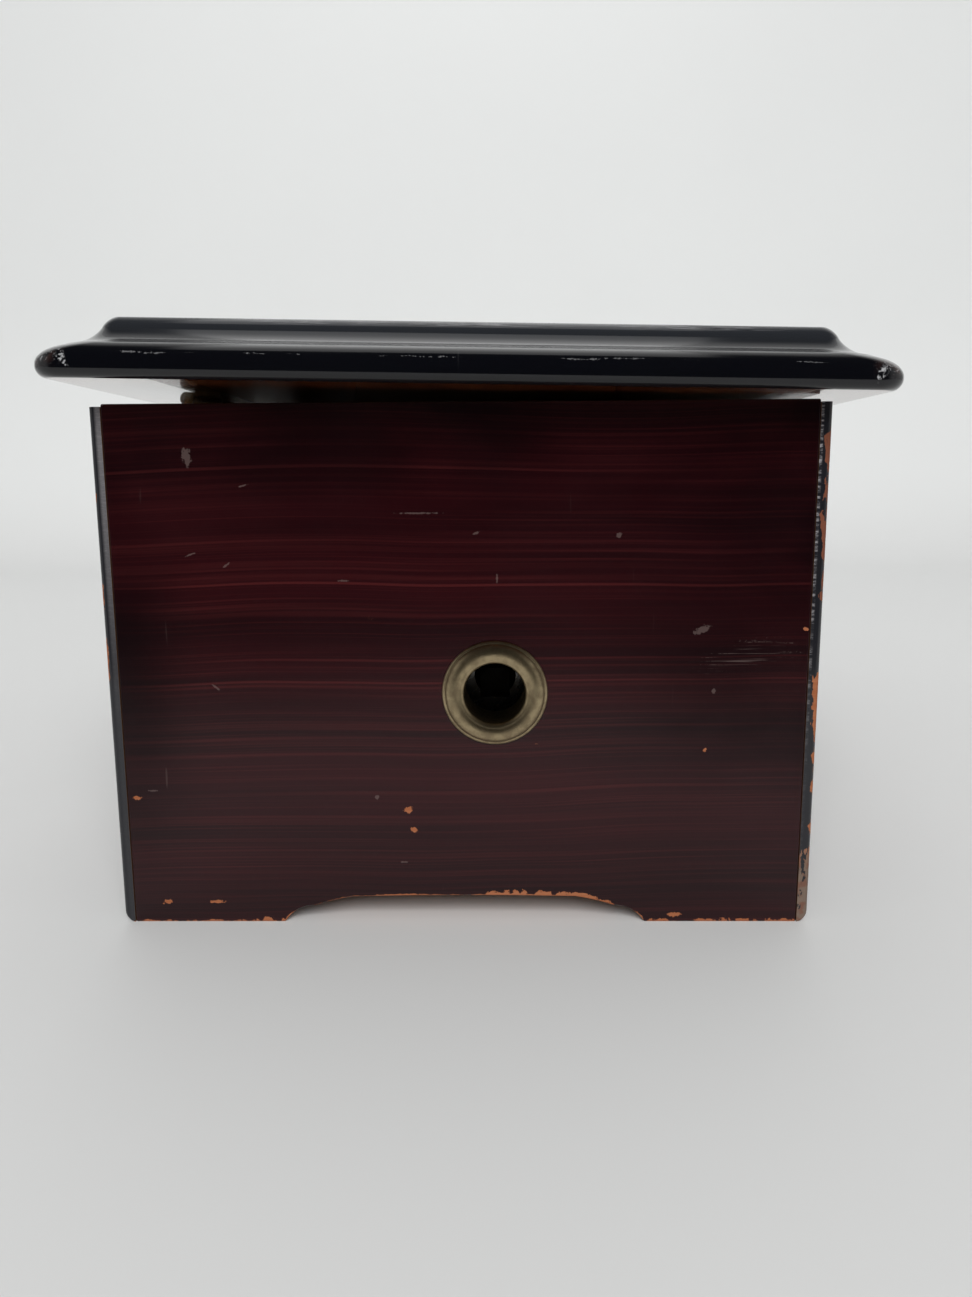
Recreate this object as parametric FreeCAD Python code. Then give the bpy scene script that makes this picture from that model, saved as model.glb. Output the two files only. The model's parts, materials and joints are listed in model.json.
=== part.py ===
import FreeCAD, Part
import math
import os

os.makedirs("parts", exist_ok=True)

# Wind-up cylinder music box, in millimetres. X runs along the case, -Y is the front, +Z is up.
# The winding hole is in the end at -X. The origin is on the ground under the middle of the lid.

# Case
CASE_LENGTH = 340.0
CASE_DEPTH = 160.0
CASE_HEIGHT = 118.6
BOARD = 10.0
LIP = 2.6
LIP_ROUND = 1.2
LIP_DROP = 0.6
EDGE_ROUND = 0.5
JOINT_GAP = 0.15
BASE_THICK = 8.0
BASE_TOP = 17.0
GLUE_BLOCK = 16.0
GLUE_BLOCK_LOW = 2.0
ARCH_HALF_END = 42.0
ARCH_FOOT_LONG = 45.0
ARCH_RISE = 6.5
# Shaped shoulder of the opening, two arcs: distance in from the foot and share of the rise
ARCH_SHOULDER = [(0.0, 0.0), (2.4, 0.4), (7.0, 0.615), (11.5, 0.815), (16.0, 0.954)]

# Lid
LID_THICK = 13.8
LID_OVER_FRONT = 11.6
LID_OVER_BACK = 7.6
LID_OVER_END = 12.0
LID_CORNER = 6.0
LID_CORNER_LEAST = 0.4
LID_GAP_BACK = 4.5
LID_GAP_FRONT = 0.9
VENEER_THICK = 0.8
VENEER_MARGIN = 30.0
# Moulding arcs as (inset from the nose, height above the underside): under round, nose, cove, shoulder
UNDER_EDGE = (2.2, 0.0)
UNDER_MIDDLE = (0.7, 0.72)
NOSE_OUT = (0.0, 2.6)
NOSE_MIDDLE = (1.19, 5.88)
NOSE_TOP = (4.2, 7.62)
COVE_MIDDLE = (7.4, 8.72)
COVE_TOP = (10.1, 10.75)
SHOULDER_MIDDLE = (11.13, 12.8)
SHOULDER_TOP = (13.2, LID_THICK)
MOULDING_STEPS = 6

# Hinges
HINGE_FROM_END = 92.0
HINGE_LENGTH = 42.0
LEAF_WIDTH = 9.0
LEAF_THICK = 1.3
PIN_R = 1.0
HINGE_PLAY = 0.06
KNUCKLE_GAP = 0.3
KNUCKLE_ROOT = 0.5
PIN_OUT = 0.6
HINGE_SCREW_R = 1.0
HINGE_SCREW_APART = 15.0
HINGE_SCREW_IN = 5.6
HINGE_HEAD_R = 1.9
HINGE_HEAD = 0.6
HINGE_SCREW_LONG = 9.0

# Winding hole
WIND_FROM_MIDDLE = 7.4
WIND_Z = 54.8
FERRULE_R = 11.9
FERRULE_BORE = 6.85
FERRULE_SLEEVE = 8.5
FERRULE_PROUD = 2.2
FERRULE_RIM = 0.9
FERRULE_INSIDE = 1.0

# Bedplate, brackets and screws
BED_THICK = 6.0
BED_LIFT = 4.0
BED_MARGIN_FRONT = 12.0
BED_MARGIN_BACK = 18.0
BED_MARGIN_LEFT = 1.5
BED_MARGIN_RIGHT = 5.5
BED_CORNER = 7.0
BED_FOOT_R = 7.0
BED_FOOT_IN = 9.0
BED_SCREW_R = 2.0
BED_SCREW_HEAD_R = 3.6
BED_SCREW_HEAD = 2.2
BED_SCREW_BITE = 5.0
SMALL_SCREW_R = 1.5
SMALL_SCREW_HEAD_R = 2.6
SMALL_SCREW_HEAD = 1.6
SMALL_SCREW_SHORT = 1.0
SCREW_SLOT = 0.7
BRACKET_FOOT = 9.0
BRACKET_FOOT_THICK = 3.5
BRIDGE_THICK = 5.0
LEFT_BRIDGE_HALF = 18.0
LEFT_BRIDGE_TOP = 13.0
LEFT_BRIDGE_SCREW = 13.5
RIGHT_BRIDGE_HALF = 16.0
RIGHT_BRIDGE_TOP = 10.0
RIGHT_BRIDGE_SCREW = 12.0
BEARING_THICK = 5.0
BEARING_HALF = 12.0
BEARING_TOP = 8.0
BEARING_SCREW = 8.0

# Winding arbor, ratchet and click
RUN_PLAY = 0.04
ARBOR_R = 5.0
ARBOR_SQUARE = 7.0
ARBOR_CORE = 1.0
ARBOR_PAST_BRIDGE = 1.0
SQUARE_FROM_BOARD = 1.5
SQUARE_LONG = 8.5
RATCHET_FROM_BOARD = 10.5
RATCHET_THICK = 3.0
RATCHET_TEETH = 24
RATCHET_R = 11.0
RATCHET_ROOT = 9.6
RATCHET_LEAD = 1.0
RATCHET_CLEAR = 1.0
CLICK_FAR = 18.0
CLICK_AT = 40.0
CLICK_TIP = 95.0
CLICK_EYE = 3.2
CLICK_EYE_LOW = 242.0
CLICK_EYE_HIGH = 90.0
CLICK_NOSE = 0.35
CLICK_BELLY = 0.5
CLICK_BACK = 3.2
CLICK_SIDE = 0.2
CLICK_SCREW_R = 1.6
CLICK_HEAD_R = 2.6
CLICK_HEAD = 1.5
CLICK_END_PLAY = 0.1
CLICK_EAR = 5.0

# Spring barrel
BARREL_R = 21.0
BARREL_WALL = 1.6
BARREL_LENGTH = 41.5
BARREL_FLOOR = 2.5
COVER_THICK = 2.0
BARREL_SIDE_GAP = 2.0
GREAT_WHEEL_THICK = 3.5
SPRING_TURNS = 6
SPRING_THICK = 0.6
SPRING_INNER = 7.6
SPRING_SIDE = 1.5

# Cylinder and comb
CYLINDER_R = 20.0
CYLINDER_WALL = 1.4
CYLINDER_LENGTH = 150.0
CYLINDER_UP = 5.0
CYLINDER_ARBOR = 3.0
CYLINDER_CAP = 3.0
CYLINDER_FROM_BRIDGE = 11.5
BEARING_LEFT_GAP = 4.0
BEARING_RIGHT_GAP = 5.0
PIN_TALL = 0.8
PIN_WIDE = 0.5
PIN_SUNK = 0.4
PINS_PER_TOOTH = 3
PIN_DRIFT = 0.07
TUNE_STEP = 0.381966
COMB_TEETH = 50
COMB_SLOT = 0.5
COMB_THICK = 2.4
COMB_TOOTH_THICK = 1.4
COMB_ABOVE_AXIS = 1.0
COMB_CLEAR = 0.35
COMB_HEEL = 15.3
COMB_BASE_SHY = 2.0
BASS_LENGTH = 36.0
TREBLE_LENGTH = 20.0
COMB_SCREWS = 6
COMB_SCREW_IN = 6.0
COMB_SCREW_HEAD_R = 3.0
COMB_SCREW_HEAD = 2.0
COMB_SCREW_BITE = 8.0
COMB_FOOT_SCREW_IN = 12.0
WEIGHTED_TEETH = 16
WEIGHT_DEEP = 4.5
WEIGHT_DEEP_LEAST = 1.5
WEIGHT_LONG = 9.0
WEIGHT_LONG_LEAST = 4.0
WEIGHT_FROM_TIP = 1.5

# Wheels: teeth and tooth module of each meshing pair, then tooth shapes in modules and shares of the pitch
BARREL_TEETH = 48
CYLINDER_PINION = 16
BARREL_MODULE = 1.0
CYLINDER_TEETH = 64
SECOND_PINION = 10
CYLINDER_MODULE = 0.6
SECOND_TEETH = 40
THIRD_PINION = 8
SECOND_MODULE = 0.55
WORM_TEETH = 24
WORM_MODULE = 0.6
WHEEL_TOOTH = {"add": 0.8, "ded": 1.1, "root": 0.62, "tip": 0.26}
PINION_TOOTH = {"add": 0.7, "ded": 1.2, "root": 0.52, "tip": 0.26}
WORM_WHEEL_TOOTH = {"add": 0.55, "ded": 1.1, "root": 0.46, "tip": 0.2}
SECOND_MESH = 205.0
THIRD_MESH = 165.0
WHEEL_ARMS = 5
CYLINDER_WHEEL_THICK = 3.0
CYLINDER_WHEEL_HUB = 6.0
CYLINDER_WHEEL_RIM = 15.6
CYLINDER_WHEEL_ARM = 3.0
CYLINDER_WHEEL_GAP = 5.0
SECOND_WHEEL_THICK = 1.5
SECOND_WHEEL_HUB = 3.2
SECOND_WHEEL_RIM = 8.6
SECOND_WHEEL_ARM = 1.6
SECOND_WHEEL_GAP = 5.0
WORM_WHEEL_THICK = 1.6
WORM_WHEEL_GAP = 6.1
PINION_PAST = 1.0
PINION_ARBOR_PAST = 1.5
SMALL_PINION_PAST = 0.5

# Governor
GOV_PLATE = 2.5
GOV_FROM_BEARING = 5.0
GOV_APART = 26.5
GOV_MARGIN_FRONT = 8.0
GOV_MARGIN_BACK = 6.6
GOV_TALL = 29.0
GOV_CORNER = 6.0
GOV_FOOT_INNER = 7.0
GOV_FOOT_OUTER = 5.0
GOV_FOOT_THICK = 2.5
GOV_SCREW_IN = 5.0
GOV_SCREW_INNER = 3.6
GOV_SCREW_OUTER = 2.7
GOV_ARBOR = 1.2
PIVOT_R = 0.8
SHOULDER_PLAY = 0.3
PILLAR_R = 2.0
PILLAR_PIN_R = 1.0
PILLAR_PIN_OUT = 0.5
PILLAR_UP = 2.4
PILLAR_FRONT_IN = 2.5
PILLAR_BEHIND_SECOND = 4.2
WORM_R = 2.4
WORM_TURNS = 6
WORM_DEEP = 0.7
WORM_CROWN = 0.45
THREAD_SUNK = 0.3
THREAD_FOOT = 0.24
THREAD_CREST = 0.1
FLY_TOP_UP = 47.0
FLY_STEP_UP = 4.0
FLY_PIVOT = 2.0
FLY_R = 8.0
FLY_THICK = 0.6
FLY_TALL = 8.0
FLY_ABOVE_PLATES = 3.0
FLY_HUB_R = 2.2
FLY_HUB_PAST = 1.0
COCK_BEHIND = 19.0
COCK_HALF = 4.0
COCK_THICK = 3.0
COCK_POST = 3.5
COCK_FOOT_HALF = 6.5
COCK_FOOT_LONG = 12.5
COCK_FOOT_AHEAD = 3.0
COCK_SCREW_APART = 3.6
COCK_SCREW_IN = 6.6
STEP_HALF = 4.0
STEP_FRONT = 3.3
PIVOT_DEEP = 2.2

# Levers
LEVER_UP = 6.0
LEVER_THICK = 2.5
LEVER_WIDE = 4.0
LEVER_TAIL_WIDE = 3.5
LEVER_EYE = 4.5
LEVER_LONG = 38.0
KNOB_R = 3.5
KNOB_TALL = 12.0
STUD_R = 2.0
STUD_SHOULDER = 4.0
STUD_HEAD_R = 3.6
STUD_HEAD = 1.8
STUD_PLAY = 0.2
STUD_SUNK = 4.0
STUD_PAST_WHEEL = 0.5
START_IN = 12.0
CHANGE_IN = 10.0
STOP_POST_R = 1.6
STOP_POST_TALL = 31.0
STOP_POST_IN = 3.0
CHANGE_TAIL = 12.0
CHANGE_TAIL_OUT = 2.0

# Cutters run past what they cut by this much
PAST = 1.0

# Places that follow from the sizes above
CASE_Y = (LID_OVER_FRONT - LID_OVER_BACK) / 2
FRONT = CASE_Y - CASE_DEPTH / 2
BACK = CASE_Y + CASE_DEPTH / 2
LEFT = -CASE_LENGTH / 2
RIGHT = CASE_LENGTH / 2
INNER_FRONT = FRONT + BOARD
INNER_BACK = BACK - BOARD
INNER_X = CASE_LENGTH / 2 - BOARD
WIND_Y = CASE_Y - WIND_FROM_MIDDLE
BED_BOTTOM = BASE_TOP + BED_LIFT
BED_TOP = BED_BOTTOM + BED_THICK
CYLINDER_Z = BED_TOP + CYLINDER_UP + CYLINDER_R
BED_FRONT = INNER_FRONT + BED_MARGIN_FRONT
BED_BACK = INNER_BACK - BED_MARGIN_BACK
LID_HALF_X = CASE_LENGTH / 2 + LID_OVER_END
LID_FRONT = FRONT - LID_OVER_FRONT
LID_BACK = BACK + LID_OVER_BACK
LID_UNDER = CASE_HEIGHT + LID_GAP_BACK
LID_TOP = LID_UNDER + LID_THICK
TILT = math.degrees(math.atan((LID_GAP_BACK - LID_GAP_FRONT) / CASE_DEPTH))
PIN_Y = BACK + PIN_OUT
PIN_Z = CASE_HEIGHT + LID_GAP_BACK / 2
KNUCKLE_R = LID_GAP_BACK / 2 - KNUCKLE_GAP
LEAF_SCREW_Y = BACK - HINGE_SCREW_IN

# Stations along X, from the winding end's inner face towards the governor
WIND_END = LEFT + BOARD
SQUARE = (WIND_END + SQUARE_FROM_BOARD, WIND_END + SQUARE_FROM_BOARD + SQUARE_LONG)
RATCHET = (WIND_END + RATCHET_FROM_BOARD, WIND_END + RATCHET_FROM_BOARD + RATCHET_THICK)
LEFT_BRIDGE = (RATCHET[1] + RATCHET_CLEAR, RATCHET[1] + RATCHET_CLEAR + BRIDGE_THICK)
BARREL_START = LEFT_BRIDGE[1] + BARREL_SIDE_GAP
BARREL_END = BARREL_START + BARREL_LENGTH
GREAT_WHEEL = (BARREL_END, BARREL_END + GREAT_WHEEL_THICK)
RIGHT_BRIDGE = (GREAT_WHEEL[1] + BARREL_SIDE_GAP, GREAT_WHEEL[1] + BARREL_SIDE_GAP + BRIDGE_THICK)
CYLINDER_LEFT = RIGHT_BRIDGE[1] + CYLINDER_FROM_BRIDGE
CYLINDER_RIGHT = CYLINDER_LEFT + CYLINDER_LENGTH
LEFT_BEARING = (CYLINDER_LEFT - BEARING_LEFT_GAP - BEARING_THICK, CYLINDER_LEFT - BEARING_LEFT_GAP)
RIGHT_BEARING = (CYLINDER_RIGHT + BEARING_RIGHT_GAP, CYLINDER_RIGHT + BEARING_RIGHT_GAP + BEARING_THICK)
INNER_PLATE = (RIGHT_BEARING[0] + GOV_FROM_BEARING, RIGHT_BEARING[0] + GOV_FROM_BEARING + GOV_PLATE)
OUTER_PLATE = (INNER_PLATE[1] + GOV_APART, INNER_PLATE[1] + GOV_APART + GOV_PLATE)
CYLINDER_WHEEL_X = RIGHT_BEARING[1] + CYLINDER_WHEEL_GAP
CYLINDER_WHEEL = (CYLINDER_WHEEL_X, CYLINDER_WHEEL_X + CYLINDER_WHEEL_THICK)
SECOND_WHEEL_X = CYLINDER_WHEEL[1] + SECOND_WHEEL_GAP
SECOND_WHEEL = (SECOND_WHEEL_X, SECOND_WHEEL_X + SECOND_WHEEL_THICK)
WORM_WHEEL_X = SECOND_WHEEL[1] + WORM_WHEEL_GAP
WORM_WHEEL = (WORM_WHEEL_X, WORM_WHEEL_X + WORM_WHEEL_THICK)
FLY_X = sum(WORM_WHEEL) / 2
BED_LEFT = LEFT_BRIDGE[0] - BED_MARGIN_LEFT
BED_RIGHT = OUTER_PLATE[1] + BED_MARGIN_RIGHT

V = FreeCAD.Vector
ALONG = V(1, 0, 0)
UP = V(0, 0, 1)


def polar(y, z, r, degrees):
    a = math.radians(degrees)
    return y + r * math.cos(a), z + r * math.sin(a)


# Places of the arbors, from the wheels that drive them
def mesh_radius(module, teeth, leaves):
    return module * (teeth + leaves) / 2


CYLINDER_RISE = CYLINDER_Z - WIND_Z
CYLINDER_FAR = mesh_radius(BARREL_MODULE, BARREL_TEETH, CYLINDER_PINION)
CYLINDER_Y = WIND_Y + math.sqrt(CYLINDER_FAR ** 2 - CYLINDER_RISE ** 2)
BARREL_MESH = math.degrees(math.atan2(CYLINDER_RISE, CYLINDER_Y - WIND_Y))
SECOND_FAR = mesh_radius(CYLINDER_MODULE, CYLINDER_TEETH, SECOND_PINION)
SECOND_Y, SECOND_Z = polar(CYLINDER_Y, CYLINDER_Z, SECOND_FAR, SECOND_MESH)
THIRD_FAR = mesh_radius(SECOND_MODULE, SECOND_TEETH, THIRD_PINION)
THIRD_Y, THIRD_Z = polar(SECOND_Y, SECOND_Z, THIRD_FAR, THIRD_MESH)
FLY_Y = THIRD_Y - WORM_MODULE * WORM_TEETH / 2 - WORM_R
CLICK_Y, CLICK_Z = polar(WIND_Y, WIND_Z, CLICK_FAR, CLICK_AT)


# Simple solids
def box(x0, x1, y0, y1, z0, z1):
    return Part.makeBox(x1 - x0, y1 - y0, z1 - z0, V(x0, y0, z0))


def rod_x(y, z, r, x0, x1):
    return Part.makeCylinder(r, x1 - x0, V(x0, y, z), ALONG)


def rod_z(x, y, r, z0, z1):
    return Part.makeCylinder(r, z1 - z0, V(x, y, z0), UP)


def bore_x(shape, y, z, r, x0, x1):
    return shape.cut(rod_x(y, z, r, x0 - PAST, x1 + PAST))


def closed(points):
    return Part.Face(Part.makePolygon(points + [points[0]]))


def slab_x(points, x0, x1):
    return closed([V(x0, y, z) for y, z in points]).extrude(V(x1 - x0, 0, 0))


def slab_z(points, z0, z1):
    return closed([V(x, y, z0) for x, y in points]).extrude(V(0, 0, z1 - z0))


def arc(start, middle, end):
    return Part.Arc(start, middle, end).toShape()


def fuse(shapes):
    return shapes[0].multiFuse(shapes[1:]).removeSplitter()


def save(name, shape):
    shape.exportStep("parts/" + name + ".step")


def save_group(name, shapes):
    save(name, Part.makeCompound(shapes))


def round_edges(shape, radius, wanted):
    edges = [e for e in shape.Edges if wanted(e.BoundBox)]
    return shape.makeFillet(radius, edges)


def same(a, b):
    return abs(a - b) < 0.01


# Shaped opening between the feet, drawn across the width u and the height w
def arch_face(half, place):
    left = [(-half + u, share * ARCH_RISE) for u, share in ARCH_SHOULDER]
    right = [(-u, w) for u, w in reversed(left)]
    p = [place(u, w) for u, w in left]
    q = [place(u, w) for u, w in right]
    low_left = place(-half, -PAST)
    low_right = place(half, -PAST)
    edges = [Part.makeLine(low_left, p[0]),
             arc(p[0], p[1], p[2]),
             arc(p[2], p[3], p[4]),
             arc(p[4], place(0.0, ARCH_RISE), q[0]),
             arc(q[0], q[1], q[2]),
             arc(q[2], q[3], q[4]),
             Part.makeLine(q[4], low_right),
             Part.makeLine(low_right, low_left)]
    return Part.Face(Part.Wire(edges))


def end_arch(x0, x1):
    face = arch_face(ARCH_HALF_END, lambda u, w: V(x0, CASE_Y + u, w))
    return face.extrude(V(x1 - x0, 0, 0))


def long_arch(y0, y1):
    face = arch_face(CASE_LENGTH / 2 - ARCH_FOOT_LONG, lambda u, w: V(u, y0, w))
    return face.extrude(V(0, y1 - y0, 0))


# Case boards: the long panels lap over the ends with a thin lip
def long_panel(outer, inner):
    low, high = min(outer, inner), max(outer, inner)
    panel = box(LEFT, RIGHT, low, high, 0, CASE_HEIGHT)
    inward = math.copysign(1, inner - outer)
    rebate_low, rebate_high = sorted((outer + inward * LIP, inner + inward * PAST))
    for x0, x1 in ((LEFT - PAST, LEFT + BOARD), (RIGHT - BOARD, RIGHT + PAST)):
        panel = panel.cut(box(x0, x1, rebate_low, rebate_high, -PAST, CASE_HEIGHT + PAST))
        panel = panel.cut(box(x0, x1, low - PAST, high + PAST, CASE_HEIGHT - LIP_DROP, CASE_HEIGHT + PAST))
    panel = panel.cut(long_arch(low - PAST, high + PAST))
    return round_edges(panel, LIP_ROUND, lambda b: b.ZLength > CASE_HEIGHT / 2 and same(b.YMin, outer)
                       and same(abs(b.XMin), RIGHT))


def end_panel(x0, x1, outside):
    panel = box(x0, x1, FRONT + LIP + JOINT_GAP, BACK - LIP - JOINT_GAP, 0, CASE_HEIGHT)
    panel = panel.cut(end_arch(x0 - PAST, x1 + PAST))
    return round_edges(panel, EDGE_ROUND, lambda b: b.YLength > CASE_DEPTH / 2 and same(b.XMin, outside)
                       and same(b.ZMin, CASE_HEIGHT))


hinge_places = [LEFT + HINGE_FROM_END, RIGHT - HINGE_FROM_END]
screw_steps = [-HINGE_SCREW_APART, 0.0, HINGE_SCREW_APART]
screw_places = [hinge + step for hinge in hinge_places for step in screw_steps]

back_panel = long_panel(BACK, INNER_BACK)
for x in screw_places:
    back_panel = back_panel.cut(rod_z(x, LEAF_SCREW_Y, HINGE_SCREW_R, CASE_HEIGHT - HINGE_SCREW_LONG,
                                      CASE_HEIGHT + PAST))
left_end_panel = end_panel(LEFT, WIND_END, LEFT)
left_end_panel = bore_x(left_end_panel, WIND_Y, WIND_Z, FERRULE_SLEEVE, LEFT, WIND_END)
base_board = box(-INNER_X, INNER_X, INNER_FRONT, INNER_BACK, BASE_TOP - BASE_THICK, BASE_TOP)
glue_blocks = []
for x, sx in ((-INNER_X, 1), (INNER_X, -1)):
    for y, sy in ((INNER_FRONT, 1), (INNER_BACK, -1)):
        corner = [(x, y), (x + sx * GLUE_BLOCK, y), (x, y + sy * GLUE_BLOCK)]
        glue_blocks.append(slab_z(corner, GLUE_BLOCK_LOW, BASE_TOP - BASE_THICK))
save("front_panel", long_panel(FRONT, INNER_FRONT))
save("back_panel", back_panel)
save("left_end_panel", left_end_panel)
save("right_end_panel", end_panel(RIGHT - BOARD, RIGHT, RIGHT))
save_group("glue_blocks", glue_blocks)


# Brass ferrule turned as one ring: sleeve through the board and a rounded flange outside
def ferrule():
    def at(r, out):
        return V(LEFT - out, WIND_Y + r, WIND_Z)
    lead_in = at(FERRULE_BORE, FERRULE_PROUD * 0.5)
    crest = at(FERRULE_BORE + 1.1, FERRULE_PROUD * 0.9)
    shoulder = at(FERRULE_R - 0.7, FERRULE_RIM)
    rim = at(FERRULE_R, FERRULE_RIM * 0.27)
    inside = -BOARD - FERRULE_INSIDE
    edges = [Part.makeLine(at(FERRULE_BORE, inside), lead_in),
             arc(lead_in, at(FERRULE_BORE + 0.35, FERRULE_PROUD * 0.78), crest),
             arc(crest, at(FERRULE_BORE + 2.6, FERRULE_PROUD), shoulder),
             arc(shoulder, at(FERRULE_R - 0.15, FERRULE_RIM * 0.67), rim),
             Part.makeLine(rim, at(FERRULE_R, 0.0)),
             Part.makeLine(at(FERRULE_R, 0.0), at(FERRULE_SLEEVE, 0.0)),
             Part.makeLine(at(FERRULE_SLEEVE, 0.0), at(FERRULE_SLEEVE, inside)),
             Part.makeLine(at(FERRULE_SLEEVE, inside), at(FERRULE_BORE, inside))]
    return Part.Face(Part.Wire(edges)).revolve(V(LEFT, WIND_Y, WIND_Z), ALONG, 360)


save("winding_ferrule", ferrule())


# Lid board: moulded edge all round
def rounded_rectangle(x0, x1, y0, y1, r, z):
    k = r * (1 - math.sqrt(0.5))
    edges = [Part.makeLine(V(x0 + r, y0, z), V(x1 - r, y0, z)),
             arc(V(x1 - r, y0, z), V(x1 - k, y0 + k, z), V(x1, y0 + r, z)),
             Part.makeLine(V(x1, y0 + r, z), V(x1, y1 - r, z)),
             arc(V(x1, y1 - r, z), V(x1 - k, y1 - k, z), V(x1 - r, y1, z)),
             Part.makeLine(V(x1 - r, y1, z), V(x0 + r, y1, z)),
             arc(V(x0 + r, y1, z), V(x0 + k, y1 - k, z), V(x0, y1 - r, z)),
             Part.makeLine(V(x0, y1 - r, z), V(x0, y0 + r, z)),
             arc(V(x0, y0 + r, z), V(x0 + k, y0 + k, z), V(x0 + r, y0, z))]
    return Part.Wire(edges)


def moulding():
    points = [UNDER_EDGE]
    for middle, end in ((UNDER_MIDDLE, NOSE_OUT), (NOSE_MIDDLE, NOSE_TOP), (COVE_MIDDLE, COVE_TOP),
                        (SHOULDER_MIDDLE, SHOULDER_TOP)):
        curve = Part.Arc(V(*points[-1]), V(*middle), V(*end))
        points += [(p.x, p.y) for p in curve.discretize(MOULDING_STEPS)[1:]]
    return points


def lid_section(inset, height):
    corner = max(LID_CORNER - inset, LID_CORNER_LEAST)
    return rounded_rectangle(-LID_HALF_X + inset, LID_HALF_X - inset, LID_FRONT + inset, LID_BACK - inset,
                             corner, LID_UNDER + height)


def tilted(shape):
    turned = shape.copy()
    turned.rotate(V(0, BACK, LID_UNDER), ALONG, TILT)
    return turned


leaf_under = LID_UNDER - LEAF_THICK
lid_board = Part.makeLoft([lid_section(inset, height) for inset, height in moulding()], True, True)
veneer = box(-LID_HALF_X + VENEER_MARGIN, LID_HALF_X - VENEER_MARGIN, LID_FRONT + VENEER_MARGIN,
             LID_BACK - VENEER_MARGIN, LID_TOP - VENEER_THICK, LID_TOP)
lid_board = lid_board.cut(veneer)
lid_screws = []
for x in screw_places:
    shank = rod_z(x, LEAF_SCREW_Y, HINGE_SCREW_R, leaf_under, LID_UNDER + HINGE_SCREW_LONG)
    lid_board = lid_board.cut(shank)
    head = rod_z(x, LEAF_SCREW_Y, HINGE_HEAD_R, leaf_under - HINGE_HEAD, leaf_under)
    lid_screws.append(tilted(shank.fuse(head)))
save("lid_board", tilted(lid_board))
save("lid_veneer", tilted(veneer))
save_group("hinge_screws_lid", lid_screws)

# Butt hinges: the lower leaf carries the two outer knuckles, the upper leaf the middle one
leaf_front = BACK - LEAF_WIDTH
leaf_back = PIN_Y - KNUCKLE_R - KNUCKLE_GAP
leaf_over = CASE_HEIGHT + LEAF_THICK


def lower_leaf(h0, h1):
    third = HINGE_LENGTH / 3
    shapes = [box(h0, h1, leaf_front, leaf_back, CASE_HEIGHT, leaf_over)]
    for k0, k1 in ((h0, h0 + third - KNUCKLE_GAP), (h1 - third + KNUCKLE_GAP, h1)):
        shapes.append(box(k0, k1, leaf_back - KNUCKLE_ROOT, PIN_Y, CASE_HEIGHT + KNUCKLE_GAP, leaf_over))
        shapes.append(rod_x(PIN_Y, PIN_Z, KNUCKLE_R, k0, k1))
    leaf = bore_x(fuse(shapes), PIN_Y, PIN_Z, PIN_R, h0, h1)
    for x in screw_places:
        leaf = leaf.cut(rod_z(x, LEAF_SCREW_Y, HINGE_SCREW_R, CASE_HEIGHT - PAST, leaf_over + PAST))
    return leaf


def upper_leaf(h0, h1):
    third = HINGE_LENGTH / 3
    shapes = [tilted(box(h0, h1, leaf_front, leaf_back, leaf_under, LID_UNDER)),
              tilted(box(h0 + third, h1 - third, leaf_back - KNUCKLE_ROOT, PIN_Y, leaf_under,
                         LID_UNDER - KNUCKLE_GAP)),
              rod_x(PIN_Y, PIN_Z, KNUCKLE_R, h0 + third, h1 - third)]
    leaf = bore_x(fuse(shapes), PIN_Y, PIN_Z, PIN_R + HINGE_PLAY, h0, h1)
    for x in screw_places:
        leaf = leaf.cut(tilted(rod_z(x, LEAF_SCREW_Y, HINGE_SCREW_R, leaf_under - PAST, LID_UNDER + PAST)))
    return leaf


hinge_ends = [(hinge - HINGE_LENGTH / 2, hinge + HINGE_LENGTH / 2) for hinge in hinge_places]
case_screws = []
for x in screw_places:
    shank = rod_z(x, LEAF_SCREW_Y, HINGE_SCREW_R, CASE_HEIGHT - HINGE_SCREW_LONG, leaf_over)
    case_screws.append(shank.fuse(rod_z(x, LEAF_SCREW_Y, HINGE_HEAD_R, leaf_over, leaf_over + HINGE_HEAD)))
save_group("hinge_lower_leaves", [lower_leaf(h0, h1) for h0, h1 in hinge_ends])
save_group("hinge_upper_leaves", [upper_leaf(h0, h1) for h0, h1 in hinge_ends])
save_group("hinge_pins", [rod_x(PIN_Y, PIN_Z, PIN_R, h0, h1) for h0, h1 in hinge_ends])
save_group("hinge_screws_case", case_screws)


# Wheels and pinions: straight-flanked teeth, one tooth centred on the angle given
def toothed(y, z, teeth, module, tooth, start, x0, x1, bore):
    pitch_r = module * teeth / 2
    root_r = pitch_r - tooth["ded"] * module
    tip_r = pitch_r + tooth["add"] * module
    step = 360.0 / teeth
    half_root = tooth["root"] * step / 2
    half_tip = tooth["tip"] * step / 2
    points = []
    for k in range(teeth):
        a = start + k * step
        points.append(polar(y, z, root_r, a - half_root))
        points.append(polar(y, z, tip_r, a - half_tip))
        points.append(polar(y, z, tip_r, a + half_tip))
        points.append(polar(y, z, root_r, a + half_root))
    return bore_x(slab_x(points, x0, x1), y, z, bore, x0, x1)


def wheel(y, z, teeth, module, start, x0, x1, bore):
    return toothed(y, z, teeth, module, WHEEL_TOOTH, start, x0, x1, bore)


def pinion(y, z, teeth, module, towards, x0, x1, bore):
    start = towards + 180.0 + 180.0 / teeth
    return toothed(y, z, teeth, module, PINION_TOOTH, start, x0, x1, bore)


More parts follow.
